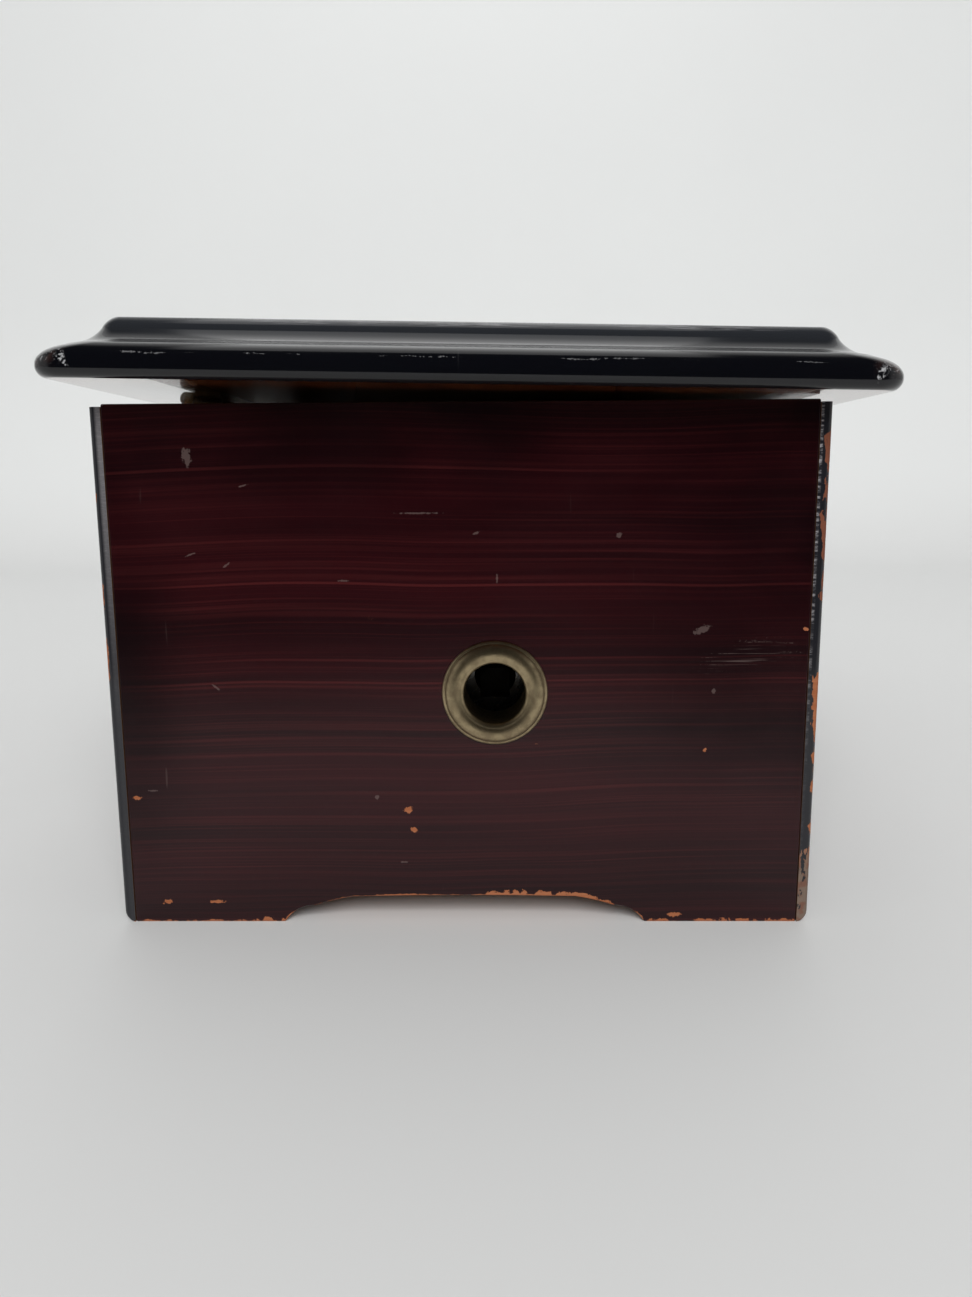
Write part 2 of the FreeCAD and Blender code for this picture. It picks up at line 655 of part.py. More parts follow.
# Wheel crossed out to a rim, a hub and thin arms
def crossed(blank, y, z, hub, rim, arm, x0, x1):
    windows = rod_x(y, z, rim, x0 - PAST, x1 + PAST).cut(rod_x(y, z, hub, x0 - PAST, x1 + PAST))
    for k in range(WHEEL_ARMS):
        spoke = box(x0 - PAST, x1 + PAST, y, y + rim + PAST, z - arm / 2, z + arm / 2)
        spoke.rotate(V(x0, y, z), ALONG, k * 360.0 / WHEEL_ARMS)
        windows = windows.cut(spoke)
    return blank.cut(windows)


# Bedplate on four feet
def bedplate():
    plate = box(BED_LEFT, BED_RIGHT, BED_FRONT, BED_BACK, BED_BOTTOM, BED_TOP)
    plate = round_edges(plate, BED_CORNER, lambda b: same(b.XLength, 0) and same(b.YLength, 0))
    plate = fuse([plate] + [rod_z(x, y, BED_FOOT_R, BASE_TOP, BED_BOTTOM) for x, y in bed_corners])
    for x, y in bed_corners:
        plate = plate.cut(rod_z(x, y, BED_SCREW_R, BASE_TOP - PAST, BED_TOP + PAST))
    return plate


def cheese_screw(x, y, z, r, head_r, head, length):
    screw = fuse([rod_z(x, y, r, z - length, z), rod_z(x, y, head_r, z, z + head)])
    half = SCREW_SLOT / 2
    return screw.cut(box(x - head_r, x + head_r, y - half, y + half, z + head / 2, z + head + PAST))


bed_corners = [(x, y) for x in (BED_LEFT + BED_FOOT_IN, BED_RIGHT - BED_FOOT_IN)
               for y in (BED_FRONT + BED_FOOT_IN, BED_BACK - BED_FOOT_IN)]
bed = bedplate()
bed_screws = []
for x, y in bed_corners:
    base_board = base_board.cut(rod_z(x, y, BED_SCREW_R, BASE_TOP - BED_SCREW_BITE, BASE_TOP + PAST))
    bed_screws.append(cheese_screw(x, y, BED_TOP, BED_SCREW_R, BED_SCREW_HEAD_R, BED_SCREW_HEAD,
                                   BED_TOP - BASE_TOP + BED_SCREW_BITE))
save("base_board", base_board)
save_group("bedplate_screws", bed_screws)
small_screws = []


# A small screw through a foot whose top is at z, into the bedplate
def screw_down(bed_shape, foot, x, y, z):
    bottom = BED_BOTTOM + SMALL_SCREW_SHORT
    hole = rod_z(x, y, SMALL_SCREW_R, bottom, z + PAST)
    small_screws.append(cheese_screw(x, y, z, SMALL_SCREW_R, SMALL_SCREW_HEAD_R, SMALL_SCREW_HEAD, z - bottom))
    return bed_shape.cut(hole), foot.cut(hole)


# Upright brackets that carry an arbor: tapered plate, rounded top, foot to one side
def bracket(y, z, x0, x1, half, top_r, foot, bore, ears):
    plate = slab_x([(y - half, BED_TOP), (y + half, BED_TOP), (y + top_r, z), (y - top_r, z)], x0, x1)
    sole = box(min(x0, foot), max(x1, foot), y - half, y + half, BED_TOP, BED_TOP + BRACKET_FOOT_THICK)
    return bore_x(fuse([plate, rod_x(y, z, top_r, x0, x1), sole] + ears), y, z, bore, x0, x1)


def click_ear():
    spread = math.degrees(math.acos((LEFT_BRIDGE_TOP - CLICK_EAR) / CLICK_FAR))
    corners = [polar(WIND_Y, WIND_Z, LEFT_BRIDGE_TOP, CLICK_AT - spread),
               polar(CLICK_Y, CLICK_Z, CLICK_EAR, CLICK_AT - spread),
               polar(CLICK_Y, CLICK_Z, CLICK_EAR, CLICK_AT + spread),
               polar(WIND_Y, WIND_Z, LEFT_BRIDGE_TOP, CLICK_AT + spread)]
    return [slab_x(corners, *LEFT_BRIDGE), rod_x(CLICK_Y, CLICK_Z, CLICK_EAR, *LEFT_BRIDGE)]


arbor_bore = ARBOR_R + RUN_PLAY
cylinder_bore = CYLINDER_ARBOR + RUN_PLAY
left_bridge = bracket(WIND_Y, WIND_Z, *LEFT_BRIDGE, LEFT_BRIDGE_HALF, LEFT_BRIDGE_TOP,
                      LEFT_BRIDGE[1] + BRACKET_FOOT, arbor_bore, click_ear())
left_bridge = bore_x(left_bridge, CLICK_Y, CLICK_Z, CLICK_SCREW_R, *LEFT_BRIDGE)
right_bridge = bracket(WIND_Y, WIND_Z, *RIGHT_BRIDGE, RIGHT_BRIDGE_HALF, RIGHT_BRIDGE_TOP,
                       RIGHT_BRIDGE[1] + BRACKET_FOOT, arbor_bore, [])
left_bearing = bracket(CYLINDER_Y, CYLINDER_Z, *LEFT_BEARING, BEARING_HALF, BEARING_TOP,
                       LEFT_BEARING[0] - BRACKET_FOOT, cylinder_bore, [])
right_bearing = bracket(CYLINDER_Y, CYLINDER_Z, *RIGHT_BEARING, BEARING_HALF, BEARING_TOP,
                        RIGHT_BEARING[0] - BRACKET_FOOT, cylinder_bore, [])
sole_top = BED_TOP + BRACKET_FOOT_THICK
screw_in = BRACKET_FOOT / 2
for side in (-1, 1):
    bed, left_bridge = screw_down(bed, left_bridge, LEFT_BRIDGE[1] + screw_in,
                                  WIND_Y + side * LEFT_BRIDGE_SCREW, sole_top)
    bed, right_bridge = screw_down(bed, right_bridge, RIGHT_BRIDGE[1] + screw_in,
                                   WIND_Y + side * RIGHT_BRIDGE_SCREW, sole_top)
    bed, left_bearing = screw_down(bed, left_bearing, LEFT_BEARING[0] - screw_in,
                                   CYLINDER_Y + side * BEARING_SCREW, sole_top)
    bed, right_bearing = screw_down(bed, right_bearing, RIGHT_BEARING[0] - screw_in,
                                    CYLINDER_Y + side * BEARING_SCREW, sole_top)
save("barrel_bridge_left", left_bridge)
save("barrel_bridge_right", right_bridge)
save("cylinder_bearing_left", left_bearing)
save("cylinder_bearing_right", right_bearing)

# Winding arbor with its key square, and the ratchet wheel on it
half_square = ARBOR_SQUARE / 2
key_square = box(*SQUARE, WIND_Y - half_square, WIND_Y + half_square, WIND_Z - half_square,
                 WIND_Z + half_square)
core = rod_x(WIND_Y, WIND_Z, ARBOR_R + ARBOR_CORE, BARREL_START + COVER_THICK + ARBOR_CORE,
             BARREL_END - BARREL_FLOOR - ARBOR_CORE)
save("winding_arbor", fuse([rod_x(WIND_Y, WIND_Z, ARBOR_R, SQUARE[1], RIGHT_BRIDGE[1] + ARBOR_PAST_BRIDGE),
                            key_square, core]))


def ratchet():
    points = []
    for k in range(RATCHET_TEETH):
        a = CLICK_TIP + RATCHET_LEAD + k * 360.0 / RATCHET_TEETH
        points.append(polar(WIND_Y, WIND_Z, RATCHET_ROOT, a))
        points.append(polar(WIND_Y, WIND_Z, RATCHET_R, a))
    return bore_x(slab_x(points, *RATCHET), WIND_Y, WIND_Z, ARBOR_R, *RATCHET)


# Click: a pawl from its eye over the ratchet to the tooth it holds
click_x = (RATCHET[0] + CLICK_SIDE, RATCHET[1] - CLICK_SIDE)
pawl = slab_x([polar(WIND_Y, WIND_Z, RATCHET_ROOT + CLICK_NOSE, CLICK_TIP),
               polar(WIND_Y, WIND_Z, RATCHET_R + CLICK_BELLY, CLICK_TIP - 10.0),
               polar(CLICK_Y, CLICK_Z, CLICK_EYE, CLICK_EYE_LOW),
               polar(CLICK_Y, CLICK_Z, CLICK_EYE, CLICK_EYE_HIGH),
               polar(WIND_Y, WIND_Z, RATCHET_R + CLICK_BACK, CLICK_TIP - 4.0),
               polar(WIND_Y, WIND_Z, RATCHET_R + CLICK_BELLY, CLICK_TIP + 0.3)], *click_x)
click = fuse([pawl, rod_x(CLICK_Y, CLICK_Z, CLICK_EYE, *click_x)])
head_x = click_x[0] - CLICK_END_PLAY
save("ratchet_wheel", ratchet())
save("click", bore_x(click, CLICK_Y, CLICK_Z, CLICK_SCREW_R + RUN_PLAY, *click_x))
save("click_screw", fuse([rod_x(CLICK_Y, CLICK_Z, CLICK_SCREW_R, head_x, LEFT_BRIDGE[1]),
                          rod_x(CLICK_Y, CLICK_Z, CLICK_HEAD_R, head_x - CLICK_HEAD, head_x),
                          rod_x(CLICK_Y, CLICK_Z, CLICK_HEAD_R, click_x[1] + CLICK_END_PLAY, LEFT_BRIDGE[0])]))

# Spring barrel: drum, cover, great wheel and the coiled mainspring
drum = rod_x(WIND_Y, WIND_Z, BARREL_R, BARREL_START + COVER_THICK, BARREL_END)
drum = drum.cut(rod_x(WIND_Y, WIND_Z, BARREL_R - BARREL_WALL, BARREL_START, BARREL_END - BARREL_FLOOR))
cover = rod_x(WIND_Y, WIND_Z, BARREL_R, BARREL_START, BARREL_START + COVER_THICK)
save("barrel_drum", bore_x(drum, WIND_Y, WIND_Z, arbor_bore, BARREL_START, BARREL_END))
save("barrel_cover", bore_x(cover, WIND_Y, WIND_Z, arbor_bore, BARREL_START, BARREL_END))
save("barrel_wheel", wheel(WIND_Y, WIND_Z, BARREL_TEETH, BARREL_MODULE, BARREL_MESH, *GREAT_WHEEL, arbor_bore))


# Spring band as half-turn arcs about two centres, each half turn wider by half the coil's pitch
def mainspring():
    x0 = BARREL_START + COVER_THICK + SPRING_SIDE
    x1 = BARREL_END - BARREL_FLOOR
    pitch = (BARREL_R - BARREL_WALL - SPRING_THICK - SPRING_INNER) / SPRING_TURNS

    def face_arcs(offset):
        arcs = []
        for half in range(2 * SPRING_TURNS):
            r = SPRING_INNER + half * pitch / 2 + offset
            side = 1 if half % 2 == 0 else -1
            centre = WIND_Y - side * pitch / 4
            arcs.append(arc(*[V(x0, centre + side * r * c, WIND_Z + side * r * s)
                              for c, s in ((1, 0), (0, 1), (-1, 0))]))
        return arcs

    inner = face_arcs(0.0)
    outer = face_arcs(SPRING_THICK)
    first = Part.makeLine(inner[0].firstVertex().Point, outer[0].firstVertex().Point)
    last = Part.makeLine(inner[-1].lastVertex().Point, outer[-1].lastVertex().Point)
    wire = Part.Wire(Part.__sortEdges__(inner + [last] + outer + [first]))
    return Part.Face(wire).extrude(V(x1 - x0, 0, 0))


save("mainspring", mainspring())

# Pinned cylinder on its arbor
tube = rod_x(CYLINDER_Y, CYLINDER_Z, CYLINDER_R, CYLINDER_LEFT, CYLINDER_RIGHT)
caps = []
for x0, x1 in ((CYLINDER_LEFT, CYLINDER_LEFT + CYLINDER_CAP), (CYLINDER_RIGHT - CYLINDER_CAP, CYLINDER_RIGHT)):
    cap = rod_x(CYLINDER_Y, CYLINDER_Z, CYLINDER_R - CYLINDER_WALL, x0, x1)
    caps.append(bore_x(cap, CYLINDER_Y, CYLINDER_Z, CYLINDER_ARBOR, x0, x1))
pinion_x = (GREAT_WHEEL[0] - PINION_PAST, GREAT_WHEEL[1] + PINION_PAST)
cylinder_wheel = wheel(CYLINDER_Y, CYLINDER_Z, CYLINDER_TEETH, CYLINDER_MODULE, SECOND_MESH, *CYLINDER_WHEEL,
                       CYLINDER_ARBOR)
save("cylinder_tube", bore_x(tube, CYLINDER_Y, CYLINDER_Z, CYLINDER_R - CYLINDER_WALL, CYLINDER_LEFT,
                             CYLINDER_RIGHT))
save_group("cylinder_caps", caps)
save("cylinder_arbor", rod_x(CYLINDER_Y, CYLINDER_Z, CYLINDER_ARBOR, pinion_x[0] - PINION_ARBOR_PAST,
                             CYLINDER_WHEEL[1] + PINION_ARBOR_PAST))
save("cylinder_pinion", pinion(CYLINDER_Y, CYLINDER_Z, CYLINDER_PINION, BARREL_MODULE, BARREL_MESH, *pinion_x,
                               CYLINDER_ARBOR))
save("cylinder_wheel", crossed(cylinder_wheel, CYLINDER_Y, CYLINDER_Z, CYLINDER_WHEEL_HUB, CYLINDER_WHEEL_RIM,
                               CYLINDER_WHEEL_ARM, *CYLINDER_WHEEL))

tooth_pitch = CYLINDER_LENGTH / COMB_TEETH
half_pin = PIN_WIDE / 2
pins = []
for tooth in range(COMB_TEETH):
    x = CYLINDER_LEFT + (tooth + 0.5) * tooth_pitch
    for k in range(PINS_PER_TOOTH):
        peg = box(x - half_pin, x + half_pin, CYLINDER_Y + CYLINDER_R - PIN_SUNK,
                  CYLINDER_Y + CYLINDER_R + PIN_TALL, CYLINDER_Z - half_pin, CYLINDER_Z + half_pin)
        turn = 360.0 * (tooth * TUNE_STEP + k / PINS_PER_TOOTH + PIN_DRIFT * k * k)
        peg.rotate(V(x, CYLINDER_Y, CYLINDER_Z), ALONG, turn)
        pins.append(peg)
save_group("cylinder_pins", pins)

# Comb of tuned teeth, its base, screws and the lead weights under the bass teeth
tip_y = CYLINDER_Y - CYLINDER_R - PIN_TALL - COMB_CLEAR
comb_top = CYLINDER_Z + COMB_ABOVE_AXIS
comb_low = comb_top - COMB_THICK
tooth_low = comb_top - COMB_TOOTH_THICK
bass_root = tip_y - BASS_LENGTH
treble_root = tip_y - TREBLE_LENGTH
comb_back = bass_root - COMB_HEEL
comb_screw_y = comb_back + COMB_SCREW_IN


def root_at(x):
    return bass_root + (treble_root - bass_root) * (x - CYLINDER_LEFT) / CYLINDER_LENGTH


def comb_plate():
    left, right = CYLINDER_LEFT, CYLINDER_RIGHT
    plate = slab_z([(left, comb_back), (right, comb_back), (right, tip_y), (left, tip_y)], comb_low, comb_top)
    undercut = slab_z([(left - PAST, root_at(left - PAST)), (right + PAST, root_at(right + PAST)),
                       (right + PAST, tip_y + PAST), (left - PAST, tip_y + PAST)], comb_low - PAST, tooth_low)
    slots = []
    for tooth in range(1, COMB_TEETH):
        x = left + tooth * tooth_pitch
        slots.append(box(x - COMB_SLOT / 2, x + COMB_SLOT / 2, root_at(x), tip_y + PAST, comb_low - PAST,
                         comb_top + PAST))
    return plate.cut([undercut] + slots)


comb = comb_plate()
comb_base = slab_z([(CYLINDER_LEFT, comb_back), (CYLINDER_RIGHT, comb_back),
                    (CYLINDER_RIGHT, treble_root - COMB_BASE_SHY), (CYLINDER_LEFT, bass_root - COMB_BASE_SHY)],
                   BED_TOP, comb_low)
comb_screws = []
for k in range(COMB_SCREWS):
    x = CYLINDER_LEFT + CYLINDER_LENGTH * (k + 0.5) / COMB_SCREWS
    hole = rod_z(x, comb_screw_y, SMALL_SCREW_R, comb_low - COMB_SCREW_BITE, comb_top + PAST)
    comb = comb.cut(hole)
    comb_base = comb_base.cut(hole)
    comb_screws.append(cheese_screw(x, comb_screw_y, comb_top, SMALL_SCREW_R, COMB_SCREW_HEAD_R,
                                    COMB_SCREW_HEAD, COMB_THICK + COMB_SCREW_BITE))
for x in (CYLINDER_LEFT + COMB_FOOT_SCREW_IN, CYLINDER_RIGHT - COMB_FOOT_SCREW_IN):
    shank = rod_z(x, comb_screw_y, SMALL_SCREW_R, BED_BOTTOM, BED_TOP + COMB_SCREW_BITE)
    head = rod_z(x, comb_screw_y, COMB_SCREW_HEAD_R, BED_BOTTOM - SMALL_SCREW_HEAD, BED_BOTTOM)
    comb_base = comb_base.cut(shank)
    bed = bed.cut(shank)
    small_screws.append(fuse([shank, head]))
weights = []
for tooth in range(WEIGHTED_TEETH):
    x0 = CYLINDER_LEFT + tooth * tooth_pitch + COMB_SLOT
    share = tooth / WEIGHTED_TEETH
    deep = WEIGHT_DEEP + (WEIGHT_DEEP_LEAST - WEIGHT_DEEP) * share
    long = WEIGHT_LONG + (WEIGHT_LONG_LEAST - WEIGHT_LONG) * share
    end = tip_y - WEIGHT_FROM_TIP
    weights.append(box(x0, x0 + tooth_pitch - 2 * COMB_SLOT, end - long, end, tooth_low - deep, tooth_low))
save("comb", comb)
save("comb_base", comb_base)
save_group("comb_screws", comb_screws)
save_group("comb_weights", weights)

# Governor: two plates with pillars, two wheel arbors, and the upright endless screw with its fly
gov_front = FLY_Y - GOV_MARGIN_FRONT
gov_back = SECOND_Y + GOV_MARGIN_BACK
gov_top = BED_TOP + GOV_TALL
gov_foot_top = BED_TOP + GOV_FOOT_THICK
pillar_z = BED_TOP + PILLAR_UP
pillar_places = [gov_front + PILLAR_FRONT_IN, SECOND_Y + PILLAR_BEHIND_SECOND]


def governor_plate(x0, x1, foot):
    plate = fuse([box(x0, x1, gov_front, gov_back, BED_TOP, gov_top),
                  box(min(x0, foot), max(x1, foot), gov_front, gov_back, BED_TOP, gov_foot_top)])
    plate = round_edges(plate, GOV_CORNER, lambda b: same(b.XLength, GOV_PLATE) and same(b.YLength, 0)
                        and same(b.ZMin, gov_top))
    for y, z in ((SECOND_Y, SECOND_Z), (THIRD_Y, THIRD_Z)):
        plate = bore_x(plate, y, z, PIVOT_R + RUN_PLAY, x0, x1)
    for y in pillar_places:
        plate = bore_x(plate, y, pillar_z, PILLAR_PIN_R, x0, x1)
    return plate


inner_plate = governor_plate(*INNER_PLATE, INNER_PLATE[0] - GOV_FOOT_INNER)
outer_plate = governor_plate(*OUTER_PLATE, OUTER_PLATE[1] + GOV_FOOT_OUTER)
for y in (gov_front + GOV_SCREW_IN, gov_back - GOV_SCREW_IN):
    bed, inner_plate = screw_down(bed, inner_plate, INNER_PLATE[0] - GOV_SCREW_INNER, y, gov_foot_top)
    bed, outer_plate = screw_down(bed, outer_plate, OUTER_PLATE[1] + GOV_SCREW_OUTER, y, gov_foot_top)
pillars = [fuse([rod_x(y, pillar_z, PILLAR_R, INNER_PLATE[1], OUTER_PLATE[0]),
                 rod_x(y, pillar_z, PILLAR_PIN_R, INNER_PLATE[0] - PILLAR_PIN_OUT,
                       OUTER_PLATE[1] + PILLAR_PIN_OUT)])
           for y in pillar_places]
save("governor_plate_inner", inner_plate)
save("governor_plate_outer", outer_plate)
save_group("governor_pillars", pillars)


def governor_arbor(y, z):
    return fuse([rod_x(y, z, PIVOT_R, INNER_PLATE[0], OUTER_PLATE[1]),
                 rod_x(y, z, GOV_ARBOR, INNER_PLATE[1] + SHOULDER_PLAY, OUTER_PLATE[0] - SHOULDER_PLAY)])


second_pinion_x = (CYLINDER_WHEEL[0] - SMALL_PINION_PAST, CYLINDER_WHEEL[1] + SMALL_PINION_PAST)
third_pinion_x = (SECOND_WHEEL[0] - SMALL_PINION_PAST, SECOND_WHEEL[1] + SMALL_PINION_PAST)
second_wheel = wheel(SECOND_Y, SECOND_Z, SECOND_TEETH, SECOND_MODULE, THIRD_MESH, *SECOND_WHEEL, GOV_ARBOR)
save("second_arbor", governor_arbor(SECOND_Y, SECOND_Z))
save("second_pinion", pinion(SECOND_Y, SECOND_Z, SECOND_PINION, CYLINDER_MODULE, SECOND_MESH, *second_pinion_x,
                             GOV_ARBOR))
save("second_wheel", crossed(second_wheel, SECOND_Y, SECOND_Z, SECOND_WHEEL_HUB, SECOND_WHEEL_RIM,
                             SECOND_WHEEL_ARM, *SECOND_WHEEL))
save("third_arbor", governor_arbor(THIRD_Y, THIRD_Z))
save("third_pinion", pinion(THIRD_Y, THIRD_Z, THIRD_PINION, SECOND_MODULE, THIRD_MESH, *third_pinion_x,
                            GOV_ARBOR))
save("worm_wheel", toothed(THIRD_Y, THIRD_Z, WORM_TEETH, WORM_MODULE, WORM_WHEEL_TOOTH, 180.0, *WORM_WHEEL,
                           GOV_ARBOR))

# Upright endless screw: right-hand thread, its gap on the worm wheel's tooth
worm_pitch = math.pi * WORM_MODULE
worm_root = WORM_R - WORM_DEEP
worm_tip = WORM_R + WORM_CROWN
worm_base = THIRD_Z - worm_pitch * (WORM_TURNS // 2 + 0.75)
fly_top = BED_TOP + FLY_TOP_UP
fly_step = BED_TOP + FLY_STEP_UP
fly_low = gov_top + FLY_ABOVE_PLATES
fly_high = fly_low + FLY_TALL


def thread():
    helix = Part.makeHelix(worm_pitch, worm_pitch * WORM_TURNS, worm_root)
    inside = worm_root - THREAD_SUNK
    foot = THREAD_FOOT * worm_pitch
    crest = THREAD_CREST * worm_pitch
    profile = Part.makePolygon([V(inside, 0, -foot), V(worm_tip, 0, -crest), V(worm_tip, 0, crest),
                                V(inside, 0, foot), V(inside, 0, -foot)])
    return Part.Wire(helix).makePipeShell([profile], True, True)


worm = thread()
worm.translate(V(FLY_X, FLY_Y, worm_base))
stem = fuse([rod_z(FLY_X, FLY_Y, worm_root, worm_base - worm_pitch, worm_base + worm_pitch * (WORM_TURNS + 1)),
             rod_z(FLY_X, FLY_Y, GOV_ARBOR, fly_step + SHOULDER_PLAY, fly_top - FLY_PIVOT),
             rod_z(FLY_X, FLY_Y, PIVOT_R, fly_step - FLY_PIVOT, fly_top + FLY_PIVOT)])
fly = fuse([rod_z(FLY_X, FLY_Y, FLY_HUB_R, fly_low - FLY_HUB_PAST, fly_high + FLY_HUB_PAST),
            box(FLY_X - FLY_R, FLY_X + FLY_R, FLY_Y - FLY_THICK / 2, FLY_Y + FLY_THICK / 2, fly_low, fly_high)])
save("endless_screw", stem.fuse(worm))
save("fly_wings", fly.cut(rod_z(FLY_X, FLY_Y, GOV_ARBOR, fly_step, fly_top)))

# Cock over the fly and the step under the endless screw
cock_front = FLY_Y - COCK_BEHIND
cock_foot = cock_front - COCK_FOOT_AHEAD
cock_top = fly_top + COCK_THICK
cock = fuse([box(FLY_X - COCK_FOOT_HALF, FLY_X + COCK_FOOT_HALF, cock_foot, cock_foot + COCK_FOOT_LONG, BED_TOP,
                 sole_top),
             box(FLY_X - COCK_HALF, FLY_X + COCK_HALF, cock_front, cock_front + COCK_POST, BED_TOP, cock_top),
             box(FLY_X - COCK_HALF, FLY_X + COCK_HALF, cock_front, FLY_Y, fly_top, cock_top),
             rod_z(FLY_X, FLY_Y, COCK_HALF, fly_top, cock_top)])
cock = cock.cut(rod_z(FLY_X, FLY_Y, PIVOT_R + RUN_PLAY, fly_top - PAST, fly_top + PIVOT_DEEP))
step = box(FLY_X - STEP_HALF, FLY_X + STEP_HALF, FLY_Y - STEP_FRONT, FLY_Y + STEP_HALF, BED_TOP, fly_step)
step = step.cut(rod_z(FLY_X, FLY_Y, PIVOT_R + RUN_PLAY, fly_step - PIVOT_DEEP, fly_step + PAST))
for side in (-1, 1):
    bed, cock = screw_down(bed, cock, FLY_X + side * COCK_SCREW_APART, cock_front + COCK_SCREW_IN, sole_top)
save("governor_cock", cock)
save("governor_step", step)

# Levers on upright studs: start and stop at the front, change and repeat at the back
lever_low = BED_TOP + LEVER_UP
lever_high = lever_low + LEVER_THICK
stud_x = SECOND_WHEEL[1] + STUD_PAST_WHEEL
knob_x = stud_x + LEVER_LONG
stud_bottom = BED_TOP - STUD_SUNK
start_y = BED_FRONT + START_IN
change_y = BED_BACK - CHANGE_IN


def bar(x0, y0, x1, y1, wide):
    far = math.hypot(x1 - x0, y1 - y0)
    ox = -(y1 - y0) / far * wide / 2
    oy = (x1 - x0) / far * wide / 2
    corners = [(x0 + ox, y0 + oy), (x0 - ox, y0 - oy), (x1 - ox, y1 - oy), (x1 + ox, y1 + oy)]
    return slab_z(corners, lever_low, lever_high)


def lever(y, tail_x, tail_y, extra):
    shapes = [rod_z(stud_x, y, LEVER_EYE, lever_low, lever_high),
              bar(stud_x, y, knob_x, y, LEVER_WIDE),
              rod_z(knob_x, y, KNOB_R, lever_low, lever_low + KNOB_TALL),
              bar(stud_x, y, tail_x, tail_y, LEVER_TAIL_WIDE)]
    return fuse(shapes + extra).cut(rod_z(stud_x, y, STUD_R + RUN_PLAY, lever_low - PAST, lever_high + PAST))


def stud(y):
    head_low = lever_high + STUD_PLAY
    return fuse([rod_z(stud_x, y, STUD_R, stud_bottom, head_low),
                 rod_z(stud_x, y, STUD_SHOULDER, BED_TOP, lever_low - STUD_PLAY),
                 rod_z(stud_x, y, STUD_HEAD_R, head_low, head_low + STUD_HEAD)])


stop_post = (CYLINDER_WHEEL[1], gov_front + STOP_POST_IN)
post = rod_z(*stop_post, STOP_POST_R, lever_low, lever_low + STOP_POST_TALL)
save("start_lever", lever(start_y, *stop_post, [post]))
save("change_lever", lever(change_y, stud_x - CHANGE_TAIL, change_y + CHANGE_TAIL_OUT, []))
for y in (start_y, change_y):
    bed = bed.cut(rod_z(stud_x, y, STUD_R, stud_bottom, BED_TOP + PAST))
save_group("lever_studs", [stud(start_y), stud(change_y)])
save("bedplate", bed)
save_group("foot_screws", small_screws)
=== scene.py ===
import json
import math

import bmesh
import bpy
from mathutils import Matrix, Vector

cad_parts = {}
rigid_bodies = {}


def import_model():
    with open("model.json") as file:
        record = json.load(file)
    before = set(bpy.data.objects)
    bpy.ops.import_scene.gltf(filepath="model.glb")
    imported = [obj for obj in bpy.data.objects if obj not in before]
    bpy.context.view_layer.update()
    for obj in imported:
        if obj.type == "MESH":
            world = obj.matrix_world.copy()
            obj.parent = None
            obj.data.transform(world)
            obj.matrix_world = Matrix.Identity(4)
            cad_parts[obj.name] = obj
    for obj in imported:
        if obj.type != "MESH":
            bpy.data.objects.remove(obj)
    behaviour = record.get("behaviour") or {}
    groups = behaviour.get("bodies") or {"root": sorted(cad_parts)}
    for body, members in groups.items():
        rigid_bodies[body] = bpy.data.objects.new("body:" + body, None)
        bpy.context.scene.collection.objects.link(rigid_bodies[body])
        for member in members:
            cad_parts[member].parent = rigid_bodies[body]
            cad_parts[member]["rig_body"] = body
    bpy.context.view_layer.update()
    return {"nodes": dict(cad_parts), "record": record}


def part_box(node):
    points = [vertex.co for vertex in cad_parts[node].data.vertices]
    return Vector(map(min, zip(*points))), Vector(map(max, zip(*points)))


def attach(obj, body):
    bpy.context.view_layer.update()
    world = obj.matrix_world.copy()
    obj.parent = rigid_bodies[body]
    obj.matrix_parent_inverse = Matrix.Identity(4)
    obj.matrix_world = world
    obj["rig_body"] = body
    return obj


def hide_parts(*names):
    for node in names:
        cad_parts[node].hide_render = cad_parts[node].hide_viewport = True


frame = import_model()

MM = 0.001
SEED = 7

# Camera fitted to the photograph, in pixels, millimetres and degrees
PHOTO_HEIGHT = 1297
FOCAL_PIXELS = 980
SENSOR = 36.0
CAMERA_FROM_END = 215.5
CAMERA_Y = -6.6
CAMERA_Z = 101.75
CAMERA_PITCH = 9.706
CAMERA_YAW = -0.829
CAMERA_ROLL = 0.371
NEAREST_SEEN = 10.0

# Case and lid sizes that the looks need, in millimetres
LIP = 2.6
ARCH_HALF = 42.0
LONG_ARCH_HALF = 125.0
ARCH_RISE = 6.5
FOOT_WORN = 2.4
FOOT_STEP_DEGREES = 15
LID_THICK = 13.8
LID_GAP_BACK = 4.5
LID_GAP_FRONT = 0.9
LACQUER_EASE = 0.05
VENEER_MARGIN = 30.0
VENEER_CORNER = 0.2
VENEER_DEPTH = 0.8
# Radius of the lid's corners: at the nose, at most above it, and its change with each millimetre of inset
LID_CORNER = 6.0
LID_CORNER_WORN = 14.0
CORNER_WIDENS = 2.0
CORNER_NARROWS = 0.9
# Shoulder of the opening between the feet: distance in from the foot and share of the rise
ARCH_SHOULDER = ((2.4, 0.4), (7.0, 0.615), (11.5, 0.815), (16.0, 0.954))

end_low, end_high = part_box("left_end_panel")
front_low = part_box("front_panel")[0]
back_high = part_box("back_panel")[1]
tube_low, tube_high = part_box("cylinder_tube")
lid_low, lid_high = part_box("lid_board")
CASE_LEFT = front_low.x
CASE_FRONT = front_low.y
CASE_BACK = back_high.y
CASE_MIDDLE = (CASE_FRONT + CASE_BACK) / 2
CASE_TOP = back_high.z
AXIS_Y = (tube_low.y + tube_high.y) / 2
AXIS_Z = (tube_low.z + tube_high.z) / 2
TUBE_R = (tube_high.z - tube_low.z) / 2
LID_END = lid_high.x
LID_SIDE = lid_high.y
slots = {part["node"]: part["material_slot"] for part in frame["record"]["subparts"]}

VECTOR = "NodeSocketVector"
FLOAT = "NodeSocketFloat"
WHOLE = "NodeSocketInt"
QUARTER_TURN = 1.5708


